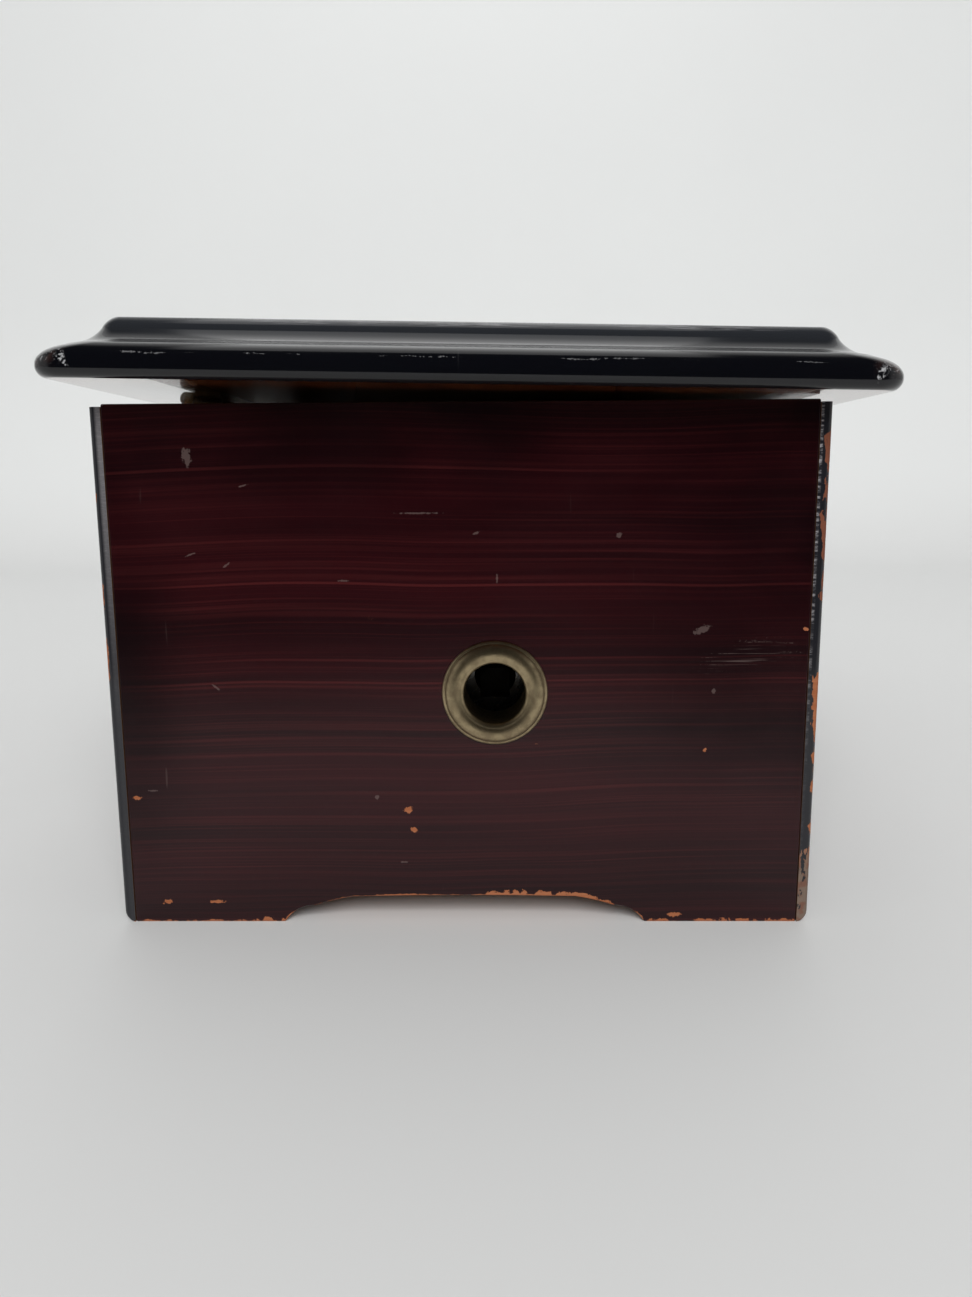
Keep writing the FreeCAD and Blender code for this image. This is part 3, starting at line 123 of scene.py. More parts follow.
# Node building
def add(tree, kind, sockets, **settings):
    made = tree.nodes.new(kind)
    for name, value in settings.items():
        setattr(made, name, value)
    for name, value in sockets.items():
        if isinstance(value, bpy.types.NodeSocket):
            tree.links.new(value, made.inputs[name])
        else:
            made.inputs[name].default_value = value
    return made


def sums(tree, operation, a, b=0.0, clamp=False):
    return add(tree, "ShaderNodeMath", {0: a, 1: b}, operation=operation, use_clamp=clamp).outputs[0]


def plus(tree, a, b):
    return sums(tree, "ADD", a, b)


def minus(tree, a, b):
    return sums(tree, "SUBTRACT", a, b)


def times(tree, a, b):
    return sums(tree, "MULTIPLY", a, b)


def most(tree, a, b):
    return sums(tree, "MAXIMUM", a, b)


def size_of(tree, value):
    return sums(tree, "ABSOLUTE", value)


# Distance to the nearer of two limits, from between them
def inside(tree, value, low, high):
    return sums(tree, "MINIMUM", minus(tree, value, low), minus(tree, high, value))


def remap(tree, value, low, high, to_low=0.0, to_high=1.0, kind="SMOOTHSTEP"):
    sockets = {"Value": value, "From Min": low, "From Max": high, "To Min": to_low, "To Max": to_high}
    return add(tree, "ShaderNodeMapRange", sockets, interpolation_type=kind, clamp=True).outputs["Result"]


def blend_colour(tree, share, a, b, kind="MIX"):
    return add(tree, "ShaderNodeMix", {0: share, 6: a, 7: b}, data_type="RGBA", blend_type=kind).outputs[2]


def blend_value(tree, share, a, b):
    return add(tree, "ShaderNodeMix", {0: share, 2: a, 3: b}).outputs[0]


def noise(tree, vector, scale=1.0, detail=2.0, rough=0.5, warp=0.0, out="Fac"):
    sockets = {"Vector": vector, "Scale": scale, "Detail": detail, "Roughness": rough, "Distortion": warp}
    return add(tree, "ShaderNodeTexNoise", sockets).outputs[out]


def stretch(tree, vector, scale, turn=(0, 0, 0)):
    return add(tree, "ShaderNodeMapping", {"Vector": vector, "Scale": scale, "Rotation": turn}).outputs[0]


def split(tree, vector):
    made = add(tree, "ShaderNodeSeparateXYZ", {0: vector})
    return made.outputs[0], made.outputs[1], made.outputs[2]


def group(name, inputs, outputs):
    tree = bpy.data.node_groups.new(name, "ShaderNodeTree")
    for label, kind, value in inputs:
        socket = tree.interface.new_socket(label, in_out="INPUT", socket_type=kind)
        if value is not None:
            socket.default_value = value
    for label in outputs:
        tree.interface.new_socket(label, in_out="OUTPUT", socket_type=FLOAT)
    source = tree.nodes.new("NodeGroupInput").outputs
    sink = tree.nodes.new("NodeGroupOutput").inputs
    return tree, source, sink


def place_group(tree, shared, sockets):
    return add(tree, "ShaderNodeGroup", sockets, node_tree=shared).outputs


# Brushed imitation graining: fine wavering lines along the board, over slow changes of tone
def graining_group():
    inputs = [("Coordinates", VECTOR, None), ("Along", FLOAT, 4.0), ("Across", FLOAT, 900.0)]
    tree, source, sink = group("brushed_graining", inputs, ["Lines", "Broad", "Brush"])
    x, y, z = split(tree, source["Coordinates"])
    along = plus(tree, x, y)
    waver = minus(tree, noise(tree, source["Coordinates"], scale=8.0), 0.5)
    lifted = plus(tree, z, times(tree, waver, 9 * MM))

    def drawn_out(along_scale, across_scale):
        sockets = {0: times(tree, along, along_scale), 2: times(tree, lifted, across_scale)}
        return add(tree, "ShaderNodeCombineXYZ", sockets).outputs[0]

    streaks = noise(tree, drawn_out(source["Along"], source["Across"]), detail=4.0, rough=0.62)
    hairs = noise(tree, drawn_out(7.0, 2100.0), rough=0.6)
    bold = noise(tree, drawn_out(2.2, 640.0), detail=1.0)
    broad = noise(tree, drawn_out(4.0, 60.0), detail=4.0, rough=0.6)
    faint_streaks = times(tree, remap(tree, streaks, 0.48, 0.76), 0.75)
    faint_hairs = times(tree, remap(tree, hairs, 0.50, 0.74), 0.55)
    lines = most(tree, most(tree, faint_streaks, faint_hairs), remap(tree, bold, 0.69, 0.78))
    tree.links.new(lines, sink["Lines"])
    tree.links.new(remap(tree, broad, 0.28, 0.72), sink["Broad"])
    tree.links.new(noise(tree, drawn_out(14.0, 1600.0)), sink["Brush"])
    return tree


# Chips that eat in from an edge: how far the bare stretch reaches, broken up by lumps
def chips_group():
    inputs = [("Coordinates", VECTOR, None), ("From Edge", FLOAT, 1.0), ("Reach", FLOAT, 1 * MM),
              ("Lumps", FLOAT, 480.0)]
    tree, source, sink = group("edge_chips", inputs, ["Chip"])
    lumps = noise(tree, source["Coordinates"], source["Lumps"], detail=4.0, rough=0.65)
    reached = times(tree, remap(tree, lumps, 0.32, 0.66), source["Reach"])
    over = minus(tree, reached, source["From Edge"])
    tree.links.new(remap(tree, over, 0.0, 0.1 * MM), sink["Chip"])
    return tree


# One worn stretch of an edge: its reach between two places, falling off at both
def stretch_group():
    inputs = [("Along", FLOAT, 0.0), ("From", FLOAT, 0.0), ("To", FLOAT, 0.0), ("Reach", FLOAT, 1 * MM)]
    tree, source, sink = group("worn_stretch", inputs, ["Depth"])
    within = inside(tree, source["Along"], source["From"], source["To"])
    share = remap(tree, within, -0.6 * MM, 1.2 * MM)
    tree.links.new(times(tree, share, source["Reach"]), sink["Depth"])
    return tree


# One small mark with a ragged outline round its centre
def nick_group():
    inputs = [("Coordinates", VECTOR, None), ("Centre", VECTOR, None), ("Half Size", VECTOR, None),
              ("Tilt", FLOAT, 0.0)]
    tree, source, sink = group("small_nick", inputs, ["Mask"])

    def vector_sum(operation, sockets):
        return add(tree, "ShaderNodeVectorMath", sockets, operation=operation).outputs

    offset = vector_sum("SUBTRACT", {0: source["Coordinates"], 1: source["Centre"]})[0]
    turned = add(tree, "ShaderNodeVectorRotate", {"Vector": offset, "Angle": source["Tilt"]},
                 rotation_type="X_AXIS").outputs[0]
    shares = vector_sum("DIVIDE", {0: turned, 1: source["Half Size"]})[0]
    size = vector_sum("LENGTH", {0: shares})["Value"]
    ragged = minus(tree, noise(tree, source["Coordinates"], scale=1300.0, detail=3.0, rough=0.6), 0.5)
    over = plus(tree, size, times(tree, ragged, 2.2))
    tree.links.new(remap(tree, over, 1.0, 0.7), sink["Mask"])
    return tree


# Small marks of age on a polished surface: rubbed scratches, specks and dulled patches
def marks_group():
    tree, source, sink = group("age_marks", [("Coordinates", VECTOR, None)], ["Scratch", "Speck", "Dull"])
    where = source["Coordinates"]
    wobble = noise(tree, where, scale=900.0, out="Color")
    moved = add(tree, "ShaderNodeMix", {0: 0.004, 4: where, 5: wobble}, data_type="VECTOR").outputs[1]
    spots = add(tree, "ShaderNodeTexVoronoi", {"Vector": moved, "Scale": 110.0, "Randomness": 1.0})
    near = remap(tree, spots.outputs["Distance"], 0.055, 0.02)
    speck_here = remap(tree, noise(tree, where, scale=33.0), 0.62, 0.68)
    tree.links.new(times(tree, near, speck_here), sink["Speck"])
    hairs = noise(tree, stretch(tree, where, (900, 60, 60), turn=(0.5, 0.3, 0.9)), detail=1.0)
    crossing_hairs = noise(tree, stretch(tree, where, (60, 700, 50), turn=(0.2, 0.8, 0.1)), detail=1.0)
    lines = most(tree, remap(tree, hairs, 0.74, 0.8), remap(tree, crossing_hairs, 0.75, 0.8))
    scratch_here = remap(tree, noise(tree, where, scale=18.0), 0.5, 0.66)
    tree.links.new(times(tree, lines, scratch_here), sink["Scratch"])
    dull = noise(tree, where, scale=24.0, detail=4.0, rough=0.6)
    tree.links.new(remap(tree, dull, 0.35, 0.75), sink["Dull"])
    return tree


# Tarnish of old brass and steel: cloudy patches with fine grit and turning lines
def tarnish_group():
    inputs = [("Coordinates", VECTOR, None), ("Cloud", FLOAT, 180.0)]
    tree, source, sink = group("metal_tarnish", inputs, ["Patch", "Grit", "Turning"])
    where = source["Coordinates"]
    cloud = noise(tree, where, source["Cloud"], detail=5.0, rough=0.62, warp=0.4)
    tree.links.new(remap(tree, cloud, 0.36, 0.68), sink["Patch"])
    tree.links.new(noise(tree, where, scale=2600.0), sink["Grit"])
    tree.links.new(noise(tree, stretch(tree, where, (2200, 160, 160))), sink["Turning"])
    return tree


GRAINING = graining_group()
CHIPS = chips_group()
WORN_STRETCH = stretch_group()
NICK = nick_group()
MARKS = marks_group()
TARNISH = tarnish_group()


# A finish with its even values set on the shader's own sockets
def material(name, **constants):
    made = bpy.data.materials.new(name)
    made.use_nodes = True
    tree = made.node_tree
    bsdf = tree.nodes["Principled BSDF"]
    for socket, value in constants.items():
        bsdf.inputs[socket.replace("_", " ")].default_value = value
    where = tree.nodes.new("ShaderNodeTexCoord").outputs["Object"]
    return made, tree, bsdf, where


# What changes over the surface, with the depth of its relief in millimetres
def finish_with(tree, bsdf, colour, rough, height, depth, strength, coat=None):
    tree.links.new(colour, bsdf.inputs["Base Color"])
    tree.links.new(rough, bsdf.inputs["Roughness"])
    if coat is not None:
        tree.links.new(coat, bsdf.inputs["Coat Weight"])
    bump = add(tree, "ShaderNodeBump", {"Height": height, "Distance": depth * MM, "Strength": strength})
    tree.links.new(bump.outputs[0], bsdf.inputs["Normal"])


BARE_WOOD = (0.24, 0.060, 0.018, 1)
PALE_BARE_WOOD = (0.40, 0.165, 0.085, 1)
HANDLED_WOOD = (0.14, 0.05, 0.032, 1)
WEATHERED_WOOD = (0.155, 0.12, 0.095, 1)
# Darkest red, for the darker sides and the painted shade of the end panels
DARKEST_RED_FOR_SIDES_AND_SHADE = (0.0028, 0.0003, 0.0009, 1)
DARK_GRAIN = (0.0080, 0.0005, 0.0014, 1)
RED_GRAIN = (0.0235, 0.0016, 0.0030, 1)
LIGHT_GRAIN = (0.085, 0.0125, 0.0125, 1)
# Long panels and lid top have faded to a lighter red than the end panels
FADED = (2.2, 2.2, 2.2, 1)
PALE_SCRATCH = (0.34, 0.25, 0.23, 1)
TOP_SCRATCH = (0.3, 0.24, 0.2, 1)
LIP_BLACK = (0.012, 0.012, 0.015, 1)
# Pale colour of the painted highlights on the black lips
LIP_GLINT = (0.42, 0.40, 0.41, 1)
LID_BLACK = (0.0016, 0.0018, 0.0032, 1)
LID_COVE_GREY = (0.020, 0.022, 0.026, 1)
LID_WORN_BROWN = (0.050, 0.024, 0.020, 1)
# Pale of worn lacquer, also the colour of the painted highlights on the lid's corners
LID_PALE_WEAR_AND_HIGHLIGHT = (0.36, 0.36, 0.37, 1)
VARNISH_BROWN = (0.15, 0.035, 0.009, 1)
VARNISH_AMBER = (0.27, 0.075, 0.02, 1)
VARNISH_LINE = (0.09, 0.02, 0.006, 1)
BRONZE = (0.30, 0.20, 0.075, 1)
DULL_BRONZE = (0.17, 0.11, 0.05, 1)
BRONZE_FLAKE = (0.5, 0.38, 0.18, 1)

# Worn stretches of an edge in millimetres: from, to, and how far the bare wood reaches in
END_FOOT_WEAR = ((43.5, 52.0, 1.5), (52.0, 78.0, 0.7), (-13.0, -3.0, 1.5), (-33.0, -14.5, 1.2),
                 (-46.0, -40.5, 1.0), (-75.5, -51.0, 1.1), (-3.0, 40.0, 0.3), (-40.0, -33.0, 0.35))
FRONT_LIP_WEAR = ((84.0, 112.0, 2.0), (75.0, 77.8, 1.4), (44.5, 59.5, 2.0), (37.8, 41.0, 1.6),
                  (30.0, 34.6, 1.7), (20.5, 24.2, 1.6), (-1.0, 18.0, 6.0))
# Bare wood along the rest of the end panels' feet and of the front lip, in millimetres
END_FOOT_LEAST = 0.22
FRONT_LIP_LEAST = 0.5
# Marks on the winding end in millimetres: across, up, half length, half height, and tilt in degrees
BARE_NICKS = ((14.6, 27.3, 1.0, 0.9, 20), (13.3, 22.6, 0.9, 0.7, 0), (71.4, 5.0, 1.2, 0.55, 10),
              (59.7, 5.0, 1.8, 0.45, 0), (77.0, 30.3, 1.0, 0.5, 0), (-74.3, 69.0, 0.7, 0.4, -10),
              (-52.9, 41.4, 0.5, 0.4, 30), (-47.0, 1.8, 1.6, 0.6, 0))
PALE_NICKS = ((61.2, 107.3, 1.1, 2.1, 10), (11.2, 94.9, 4.6, 0.22, 0), (49.4, 101.0, 1.3, 0.2, 15),
              (53.7, 83.8, 1.0, 0.25, 35), (61.6, 86.1, 1.2, 0.25, 20), (28.0, 80.2, 1.4, 0.22, 0),
              (-1.5, 90.5, 0.8, 0.3, 20), (57.5, 56.3, 1.2, 0.3, -40), (-6.0, 80.6, 0.25, 1.0, 0),
              (-54.5, 55.0, 0.5, 0.6, 0), (-32.7, 89.9, 0.7, 0.6, 0), (15.9, 14.7, 0.9, 0.25, 0),
              (21.7, 30.4, 0.5, 0.6, 0), (73.1, 32.0, 1.2, 0.25, 0), (-51.4, 68.9, 2.0, 0.9, 25))
RUBBED_PATCH = (-61.5, 62.8, 11.0, 3.4, 12)
NICK_HALF_DEPTH = 5.0
# Strength of the grain's light lines, and of the varnish over the paint where it is kept, in the open and
# under the painted shade
PANEL_LINES = 0.52
TOP_LINES = 0.6
END_COAT = 0.6
END_COAT_UNDER_SHADE = 0.35
LONG_COAT = 0.7
# Darker paint in millimetres: how far it runs in from a side; and for the painted shadow under the lid, how
# far down from the top it starts and where it is darkest
DARK_SIDE = 22
LID_SHADOW_FROM_TOP = 40
LID_SHADOW_DARKEST = 4


# Height above the shaped bottom edge of a panel, across from the panel's middle
def above_arch(tree, across, z, half):
    from_foot = minus(tree, half * MM, size_of(tree, across))
    share = sums(tree, "DIVIDE", from_foot, half * MM, clamp=True)
    rise = add(tree, "ShaderNodeFloatCurve", {"Value": share})
    for share_in, share_up in ARCH_SHOULDER:
        rise.mapping.curves[0].points.new(share_in / half, share_up)
    rise.mapping.update()
    return minus(tree, z, times(tree, rise.outputs[0], ARCH_RISE * MM))


def worn_reach(tree, along, stretches, elsewhere):
    reach = elsewhere * MM
    for start, end, depth in stretches:
        sockets = {"Along": along, "From": start * MM, "To": end * MM, "Reach": depth * MM}
        reach = most(tree, reach, place_group(tree, WORN_STRETCH, sockets)["Depth"])
    return reach


def nick_mask(tree, where, nicks):
    mask = 0.0
    for across, up, half_long, half_high, tilt in nicks:
        sockets = {"Coordinates": where, "Centre": (CASE_LEFT, across * MM, up * MM),
                   "Half Size": (NICK_HALF_DEPTH * MM, half_long * MM, half_high * MM),
                   "Tilt": math.radians(tilt)}
        mask = most(tree, mask, place_group(tree, NICK, sockets)["Mask"])
    return mask


def patchy(tree, where, scale):
    return remap(tree, noise(tree, where, scale), 0.44, 0.62)


def grained_colour(tree, grain, strength):
    base = blend_colour(tree, grain["Broad"], DARK_GRAIN, RED_GRAIN)
    return blend_colour(tree, times(tree, grain["Lines"], strength), base, LIGHT_GRAIN)


# Graining on the upright panels
def upright_graining(tree, where):
    return place_group(tree, GRAINING, {"Coordinates": where, "Along": 4.0, "Across": 900.0})


# Graining on a board that lies flat, with its lines along the case
def flat_graining(tree, where, along, across):
    laid = stretch(tree, where, (1, 1, 1), turn=(QUARTER_TURN, 0, 0))
    return place_group(tree, GRAINING, {"Coordinates": laid, "Along": along, "Across": across})


# Bare wood where the paint has gone, with the finish that goes with it
def bare_where(tree, bsdf, grain, marks, colour, chip, wood, coat):
    colour = blend_colour(tree, chip, colour, wood)
    painted_rough = remap(tree, marks["Dull"], 0.0, 1.0, 0.28, 0.42)
    rough = plus(tree, painted_rough, times(tree, chip, 0.4))
    height = minus(tree, times(tree, grain["Brush"], 0.10), chip)
    kept_coat = times(tree, minus(tree, 1.0, chip), coat)
    finish_with(tree, bsdf, colour, rough, height, depth=0.25, strength=0.35, coat=kept_coat)


# The end panels darker towards their sides, with painted shade towards the front side and a painted shadow
# under the lid
def painted_end_shade(tree, where):
    y, z = split(tree, where)[1:]
    from_side = inside(tree, y, end_low.y, end_high.y)
    # Painted shade towards the front side, together with darker paint at both sides
    painted_front_shade = remap(tree, y, -15 * MM, end_low.y + 8 * MM, 0.0, 0.75)
    darker_sides_and_front_shade = most(tree, remap(tree, from_side, DARK_SIDE * MM, 0.0, 0.0, 0.85), painted_front_shade)
    darker_sides_and_front_shade = times(tree, darker_sides_and_front_shade, remap(tree, z, 8 * MM, 55 * MM, 0.25, 1.0))
    # Painted shadow under the lid's overhang, darkest just below the top
    painted_lid_shadow = remap(tree, z, CASE_TOP - LID_SHADOW_FROM_TOP * MM, CASE_TOP - LID_SHADOW_DARKEST * MM, 0.0, 0.85)
    cloudy = remap(tree, noise(tree, stretch(tree, where, (20, 20, 45)), detail=3.0), 0.3, 0.65, 0.35, 1.0)
    return times(tree, most(tree, darker_sides_and_front_shade, painted_lid_shadow), cloudy)


# Pale scratches, with nicks and one rubbed patch on the winding end
def pale_marks(tree, where, marks):
    rub = remap(tree, noise(tree, stretch(tree, where, (60, 60, 2600))), 0.55, 0.68)
    rubbed = times(tree, nick_mask(tree, where, (RUBBED_PATCH,)), times(tree, rub, 0.16))
    pale = most(tree, times(tree, nick_mask(tree, where, PALE_NICKS), 0.17), rubbed)
    return most(tree, pale, times(tree, marks["Scratch"], 0.07))


def end_panel_paint():
    made, tree, bsdf, where = material("grained_end_paint", Coat_Weight=END_COAT, Coat_Roughness=0.24,
                                       Coat_IOR=1.45, Specular_IOR_Level=0.1)
    y, z = split(tree, where)[1:]
    grain = upright_graining(tree, where)
    marks = place_group(tree, MARKS, {"Coordinates": where})
    darker_sides_and_shade = painted_end_shade(tree, where)
    # Painted shade: the grained paint blended towards the darkest red at the sides, towards the front side
    # and under the lid
    colour = blend_colour(tree, darker_sides_and_shade, grained_colour(tree, grain, PANEL_LINES), DARKEST_RED_FOR_SIDES_AND_SHADE)
    colour = blend_colour(tree, pale_marks(tree, where, marks), colour, PALE_SCRATCH)
    bottom = above_arch(tree, minus(tree, y, CASE_MIDDLE), z, ARCH_HALF)
    foot_reach = worn_reach(tree, y, END_FOOT_WEAR, END_FOOT_LEAST)
    foot = place_group(tree, CHIPS, {"Coordinates": where, "From Edge": bottom, "Reach": foot_reach})
    chip = most(tree, foot["Chip"], nick_mask(tree, where, BARE_NICKS))
    chip = most(tree, chip, times(tree, marks["Speck"], 0.35))
    wood = blend_colour(tree, grain["Brush"], BARE_WOOD, PALE_BARE_WOOD)
    # Less varnish where the painted shade lies
    coat = remap(tree, darker_sides_and_shade, 0.0, 0.7, END_COAT, END_COAT_UNDER_SHADE)
    bare_where(tree, bsdf, grain, marks, colour, chip, wood, coat)
    return made


# Painted highlights on the inner part of the black lips: a hatched painted sheen at the back, a broken
# painted glint at the front
def lip_sheen(tree, where, from_face, front):
    z = split(tree, where)[2]
    hatch = noise(tree, stretch(tree, where, (300, 300, 1500)), detail=5.0, rough=0.8)
    hatch = remap(tree, hatch, 0.46, 0.62)
    band = remap(tree, from_face, (LIP - 1.6) * MM, (LIP - 0.7) * MM)
    back_sheen = times(tree, band, remap(tree, z, 42 * MM, 112 * MM, 0.03, 0.40))
    back_sheen = times(tree, back_sheen, remap(tree, hatch, 0.0, 1.0, 0.7, 1.0, kind="LINEAR"))
    inner_edge = remap(tree, from_face, (LIP - 0.8) * MM, (LIP - 0.4) * MM)
    front_glint = times(tree, inner_edge, remap(tree, z, 30 * MM, 95 * MM, 0.06, 0.6))
    front_glint = times(tree, front_glint, hatch)
    return blend_value(tree, front, back_sheen, front_glint)


# Bare wood of the long panels: darkened by hands high on the front, weathered low on it
def long_panel_wood(tree, where, grain, front):
    z = split(tree, where)[2]
    wood = blend_colour(tree, grain["Brush"], BARE_WOOD, PALE_BARE_WOOD)
    high_front = times(tree, remap(tree, z, 62 * MM, 78 * MM, 0.0, 0.85), front)
    wood = blend_colour(tree, high_front, wood, HANDLED_WOOD)
    low_front = times(tree, remap(tree, z, 24 * MM, 12 * MM, 0.0, 0.95), front)
    stained = times(tree, patchy(tree, where, 500.0), 0.6)
    weathered = blend_colour(tree, stained, WEATHERED_WOOD, HANDLED_WOOD)
    return blend_colour(tree, low_front, wood, weathered)


def long_panel_paint():
    made, tree, bsdf, where = material("grained_long_paint", Coat_Weight=LONG_COAT, Coat_Roughness=0.1,
                                       Specular_IOR_Level=0.1)
    x, y, z = split(tree, where)
    grain = upright_graining(tree, where)
    marks = place_group(tree, MARKS, {"Coordinates": where})
    from_end = minus(tree, -CASE_LEFT, size_of(tree, x))
    from_face = inside(tree, y, CASE_FRONT, CASE_BACK)
    front = remap(tree, y, 10 * MM, -10 * MM)
    lip = remap(tree, from_end, 9 * MM, 5 * MM)
    colour = blend_colour(tree, 1.0, grained_colour(tree, grain, PANEL_LINES), FADED, "MULTIPLY")
    colour = blend_colour(tree, lip, colour, LIP_BLACK)
    # Painted highlights along the black lips
    sheen = lip_sheen(tree, where, from_face, front)
    colour = blend_colour(tree, times(tree, sheen, lip), colour, LIP_GLINT)
    back_reach = times(tree, patchy(tree, where, 60.0), 0.9 * MM)
    front_reach = times(tree, front, worn_reach(tree, z, FRONT_LIP_WEAR, FRONT_LIP_LEAST))
    corner = place_group(tree, CHIPS, {"Coordinates": stretch(tree, where, (1, 1, 0.35)),
                                       "From Edge": most(tree, from_end, from_face),
                                       "Reach": most(tree, back_reach, front_reach)})
    foot_reach = times(tree, patchy(tree, where, 42.0), 1.4 * MM)
    foot = place_group(tree, CHIPS, {"Coordinates": where,
                                     "From Edge": above_arch(tree, x, z, LONG_ARCH_HALF),
                                     "Reach": plus(tree, foot_reach, 0.2 * MM)})
    chip = most(tree, corner["Chip"], foot["Chip"])
    chip = most(tree, chip, times(tree, marks["Speck"], 0.6))
    wood = long_panel_wood(tree, where, grain, front)
    bare_where(tree, bsdf, grain, marks, colour, chip, wood, LONG_COAT)
    return made


# Points of a circle's arc through three points, without the first
def arc(start, middle, end, steps):
    (ax, ay), (bx, by), (cx, cy) = start, middle, end
    d = 2 * (ax * (by - cy) + bx * (cy - ay) + cx * (ay - by))
    a2 = ax * ax + ay * ay
    b2 = bx * bx + by * by
    c2 = cx * cx + cy * cy
    ox = (a2 * (by - cy) + b2 * (cy - ay) + c2 * (ay - by)) / d
    oy = (a2 * (cx - bx) + b2 * (ax - cx) + c2 * (bx - ax)) / d
    first = math.atan2(ay - oy, ax - ox)
    turn = math.remainder(math.atan2(cy - oy, cx - ox) - first, math.tau)
    if abs(math.remainder(math.atan2(by - oy, bx - ox) - first - turn / 2, math.tau)) > math.pi / 2:
        turn -= math.copysign(math.tau, turn)
    r = math.hypot(ax - ox, ay - oy)
    angles = [first + turn * k / steps for k in range(1, steps + 1)]
    return [(ox + r * math.cos(a), oy + r * math.sin(a)) for a in angles]


# Lid moulding as (inset from the nose, height above the underside), with a point on each curve between
UNDER_EDGE = (2.2, 0.0)
BOTTOM_ROUND = (0.7, 0.72)
NOSE_OUT = (0.0, 2.6)
NOSE_ROUND = (1.19, 5.88)
NOSE_TOP = (4.2, 7.62)
COVE_HOLLOW = (7.6, 8.75)
COVE_TOP = (10.6, 11.3)
SHOULDER_ROUND = (11.68, 12.78)
PLATEAU = (13.2, LID_THICK)
BOTTOM_STEPS = 10
NOSE_STEPS = 16
COVE_STEPS = 14
SHOULDER_STEPS = 14
# Steps down from the plateau to the ridge of the shoulder's bead
BEAD_DOWN = 4
moulding = [UNDER_EDGE] + arc(UNDER_EDGE, BOTTOM_ROUND, NOSE_OUT, BOTTOM_STEPS)
moulding += arc(NOSE_OUT, NOSE_ROUND, NOSE_TOP, NOSE_STEPS)
ridge_index = len(moulding) - 1 - NOSE_STEPS // 2
moulding += arc(NOSE_TOP, COVE_HOLLOW, COVE_TOP, COVE_STEPS)
moulding += arc(COVE_TOP, SHOULDER_ROUND, PLATEAU, SHOULDER_STEPS)
bead_index = len(moulding) - 1 - BEAD_DOWN
lengths = [0.0]
for here, after in zip(moulding, moulding[1:]):
    lengths.append(lengths[-1] + math.dist(here, after) * MM)
# Place on the moulding map for faces that are no part of the moulding
OFF_MOULDING = (0, 1.0)
NOSE_RIDGE = lengths[ridge_index]
BEAD_RIDGE = lengths[bead_index]

# Painted highlights where the lacquer is worn on the two corners of the lid at the winding end: place and
# tilt in degrees
LID_CORNER_HIGHLIGHTS = (((-LID_END, 81.8 * MM, 127.2 * MM), 25), ((-LID_END, -83.4 * MM, 122.6 * MM), -25))
CORNER_HIGHLIGHT_HALF_SIZE = (9 * MM, 0.75 * MM, 2.1 * MM)


# Small nicks in a straying line below the ridge of the nose
def nose_nicks(tree, where, v, broken):
    strayed = minus(tree, v, times(tree, noise(tree, where, scale=130.0), 1.2 * MM))
    from_line = size_of(tree, minus(tree, strayed, NOSE_RIDGE - 1.5 * MM))
    rare = remap(tree, noise(tree, where, scale=55.0), 0.48, 0.62)
    reach = times(tree, times(tree, rare, broken), 0.42 * MM)
    sockets = {"Coordinates": where, "From Edge": from_line, "Reach": reach, "Lumps": 2300.0}
    return place_group(tree, CHIPS, sockets)["Chip"]


# Rubbed streaks along the bead of the shoulder
def bead_rub(tree, where, edge_map, v):
    from_bead = size_of(tree, minus(tree, v, BEAD_RIDGE))
    streaks = noise(tree, stretch(tree, edge_map, (110, 3200, 1)), detail=3.0, rough=0.65)
    here_and_there = remap(tree, noise(tree, stretch(tree, where, (22, 22, 1))), 0.42, 0.62)
    rubbed = times(tree, remap(tree, from_bead, 1.5 * MM, 0.3 * MM), remap(tree, streaks, 0.46, 0.62))
    return times(tree, rubbed, here_and_there)


# The four corners of the lid, round the nose
def lid_corners(tree, where, v):
    x, y = split(tree, where)[:2]
    from_nose = size_of(tree, minus(tree, v, NOSE_RIDGE))
    at_end = remap(tree, size_of(tree, x), LID_END - 9 * MM, LID_END - 2 * MM)
    at_side = remap(tree, size_of(tree, y), LID_SIDE - 9 * MM, LID_SIDE - 2 * MM)
    return times(tree, times(tree, at_end, at_side), remap(tree, from_nose, 4.5 * MM, 1.5 * MM))


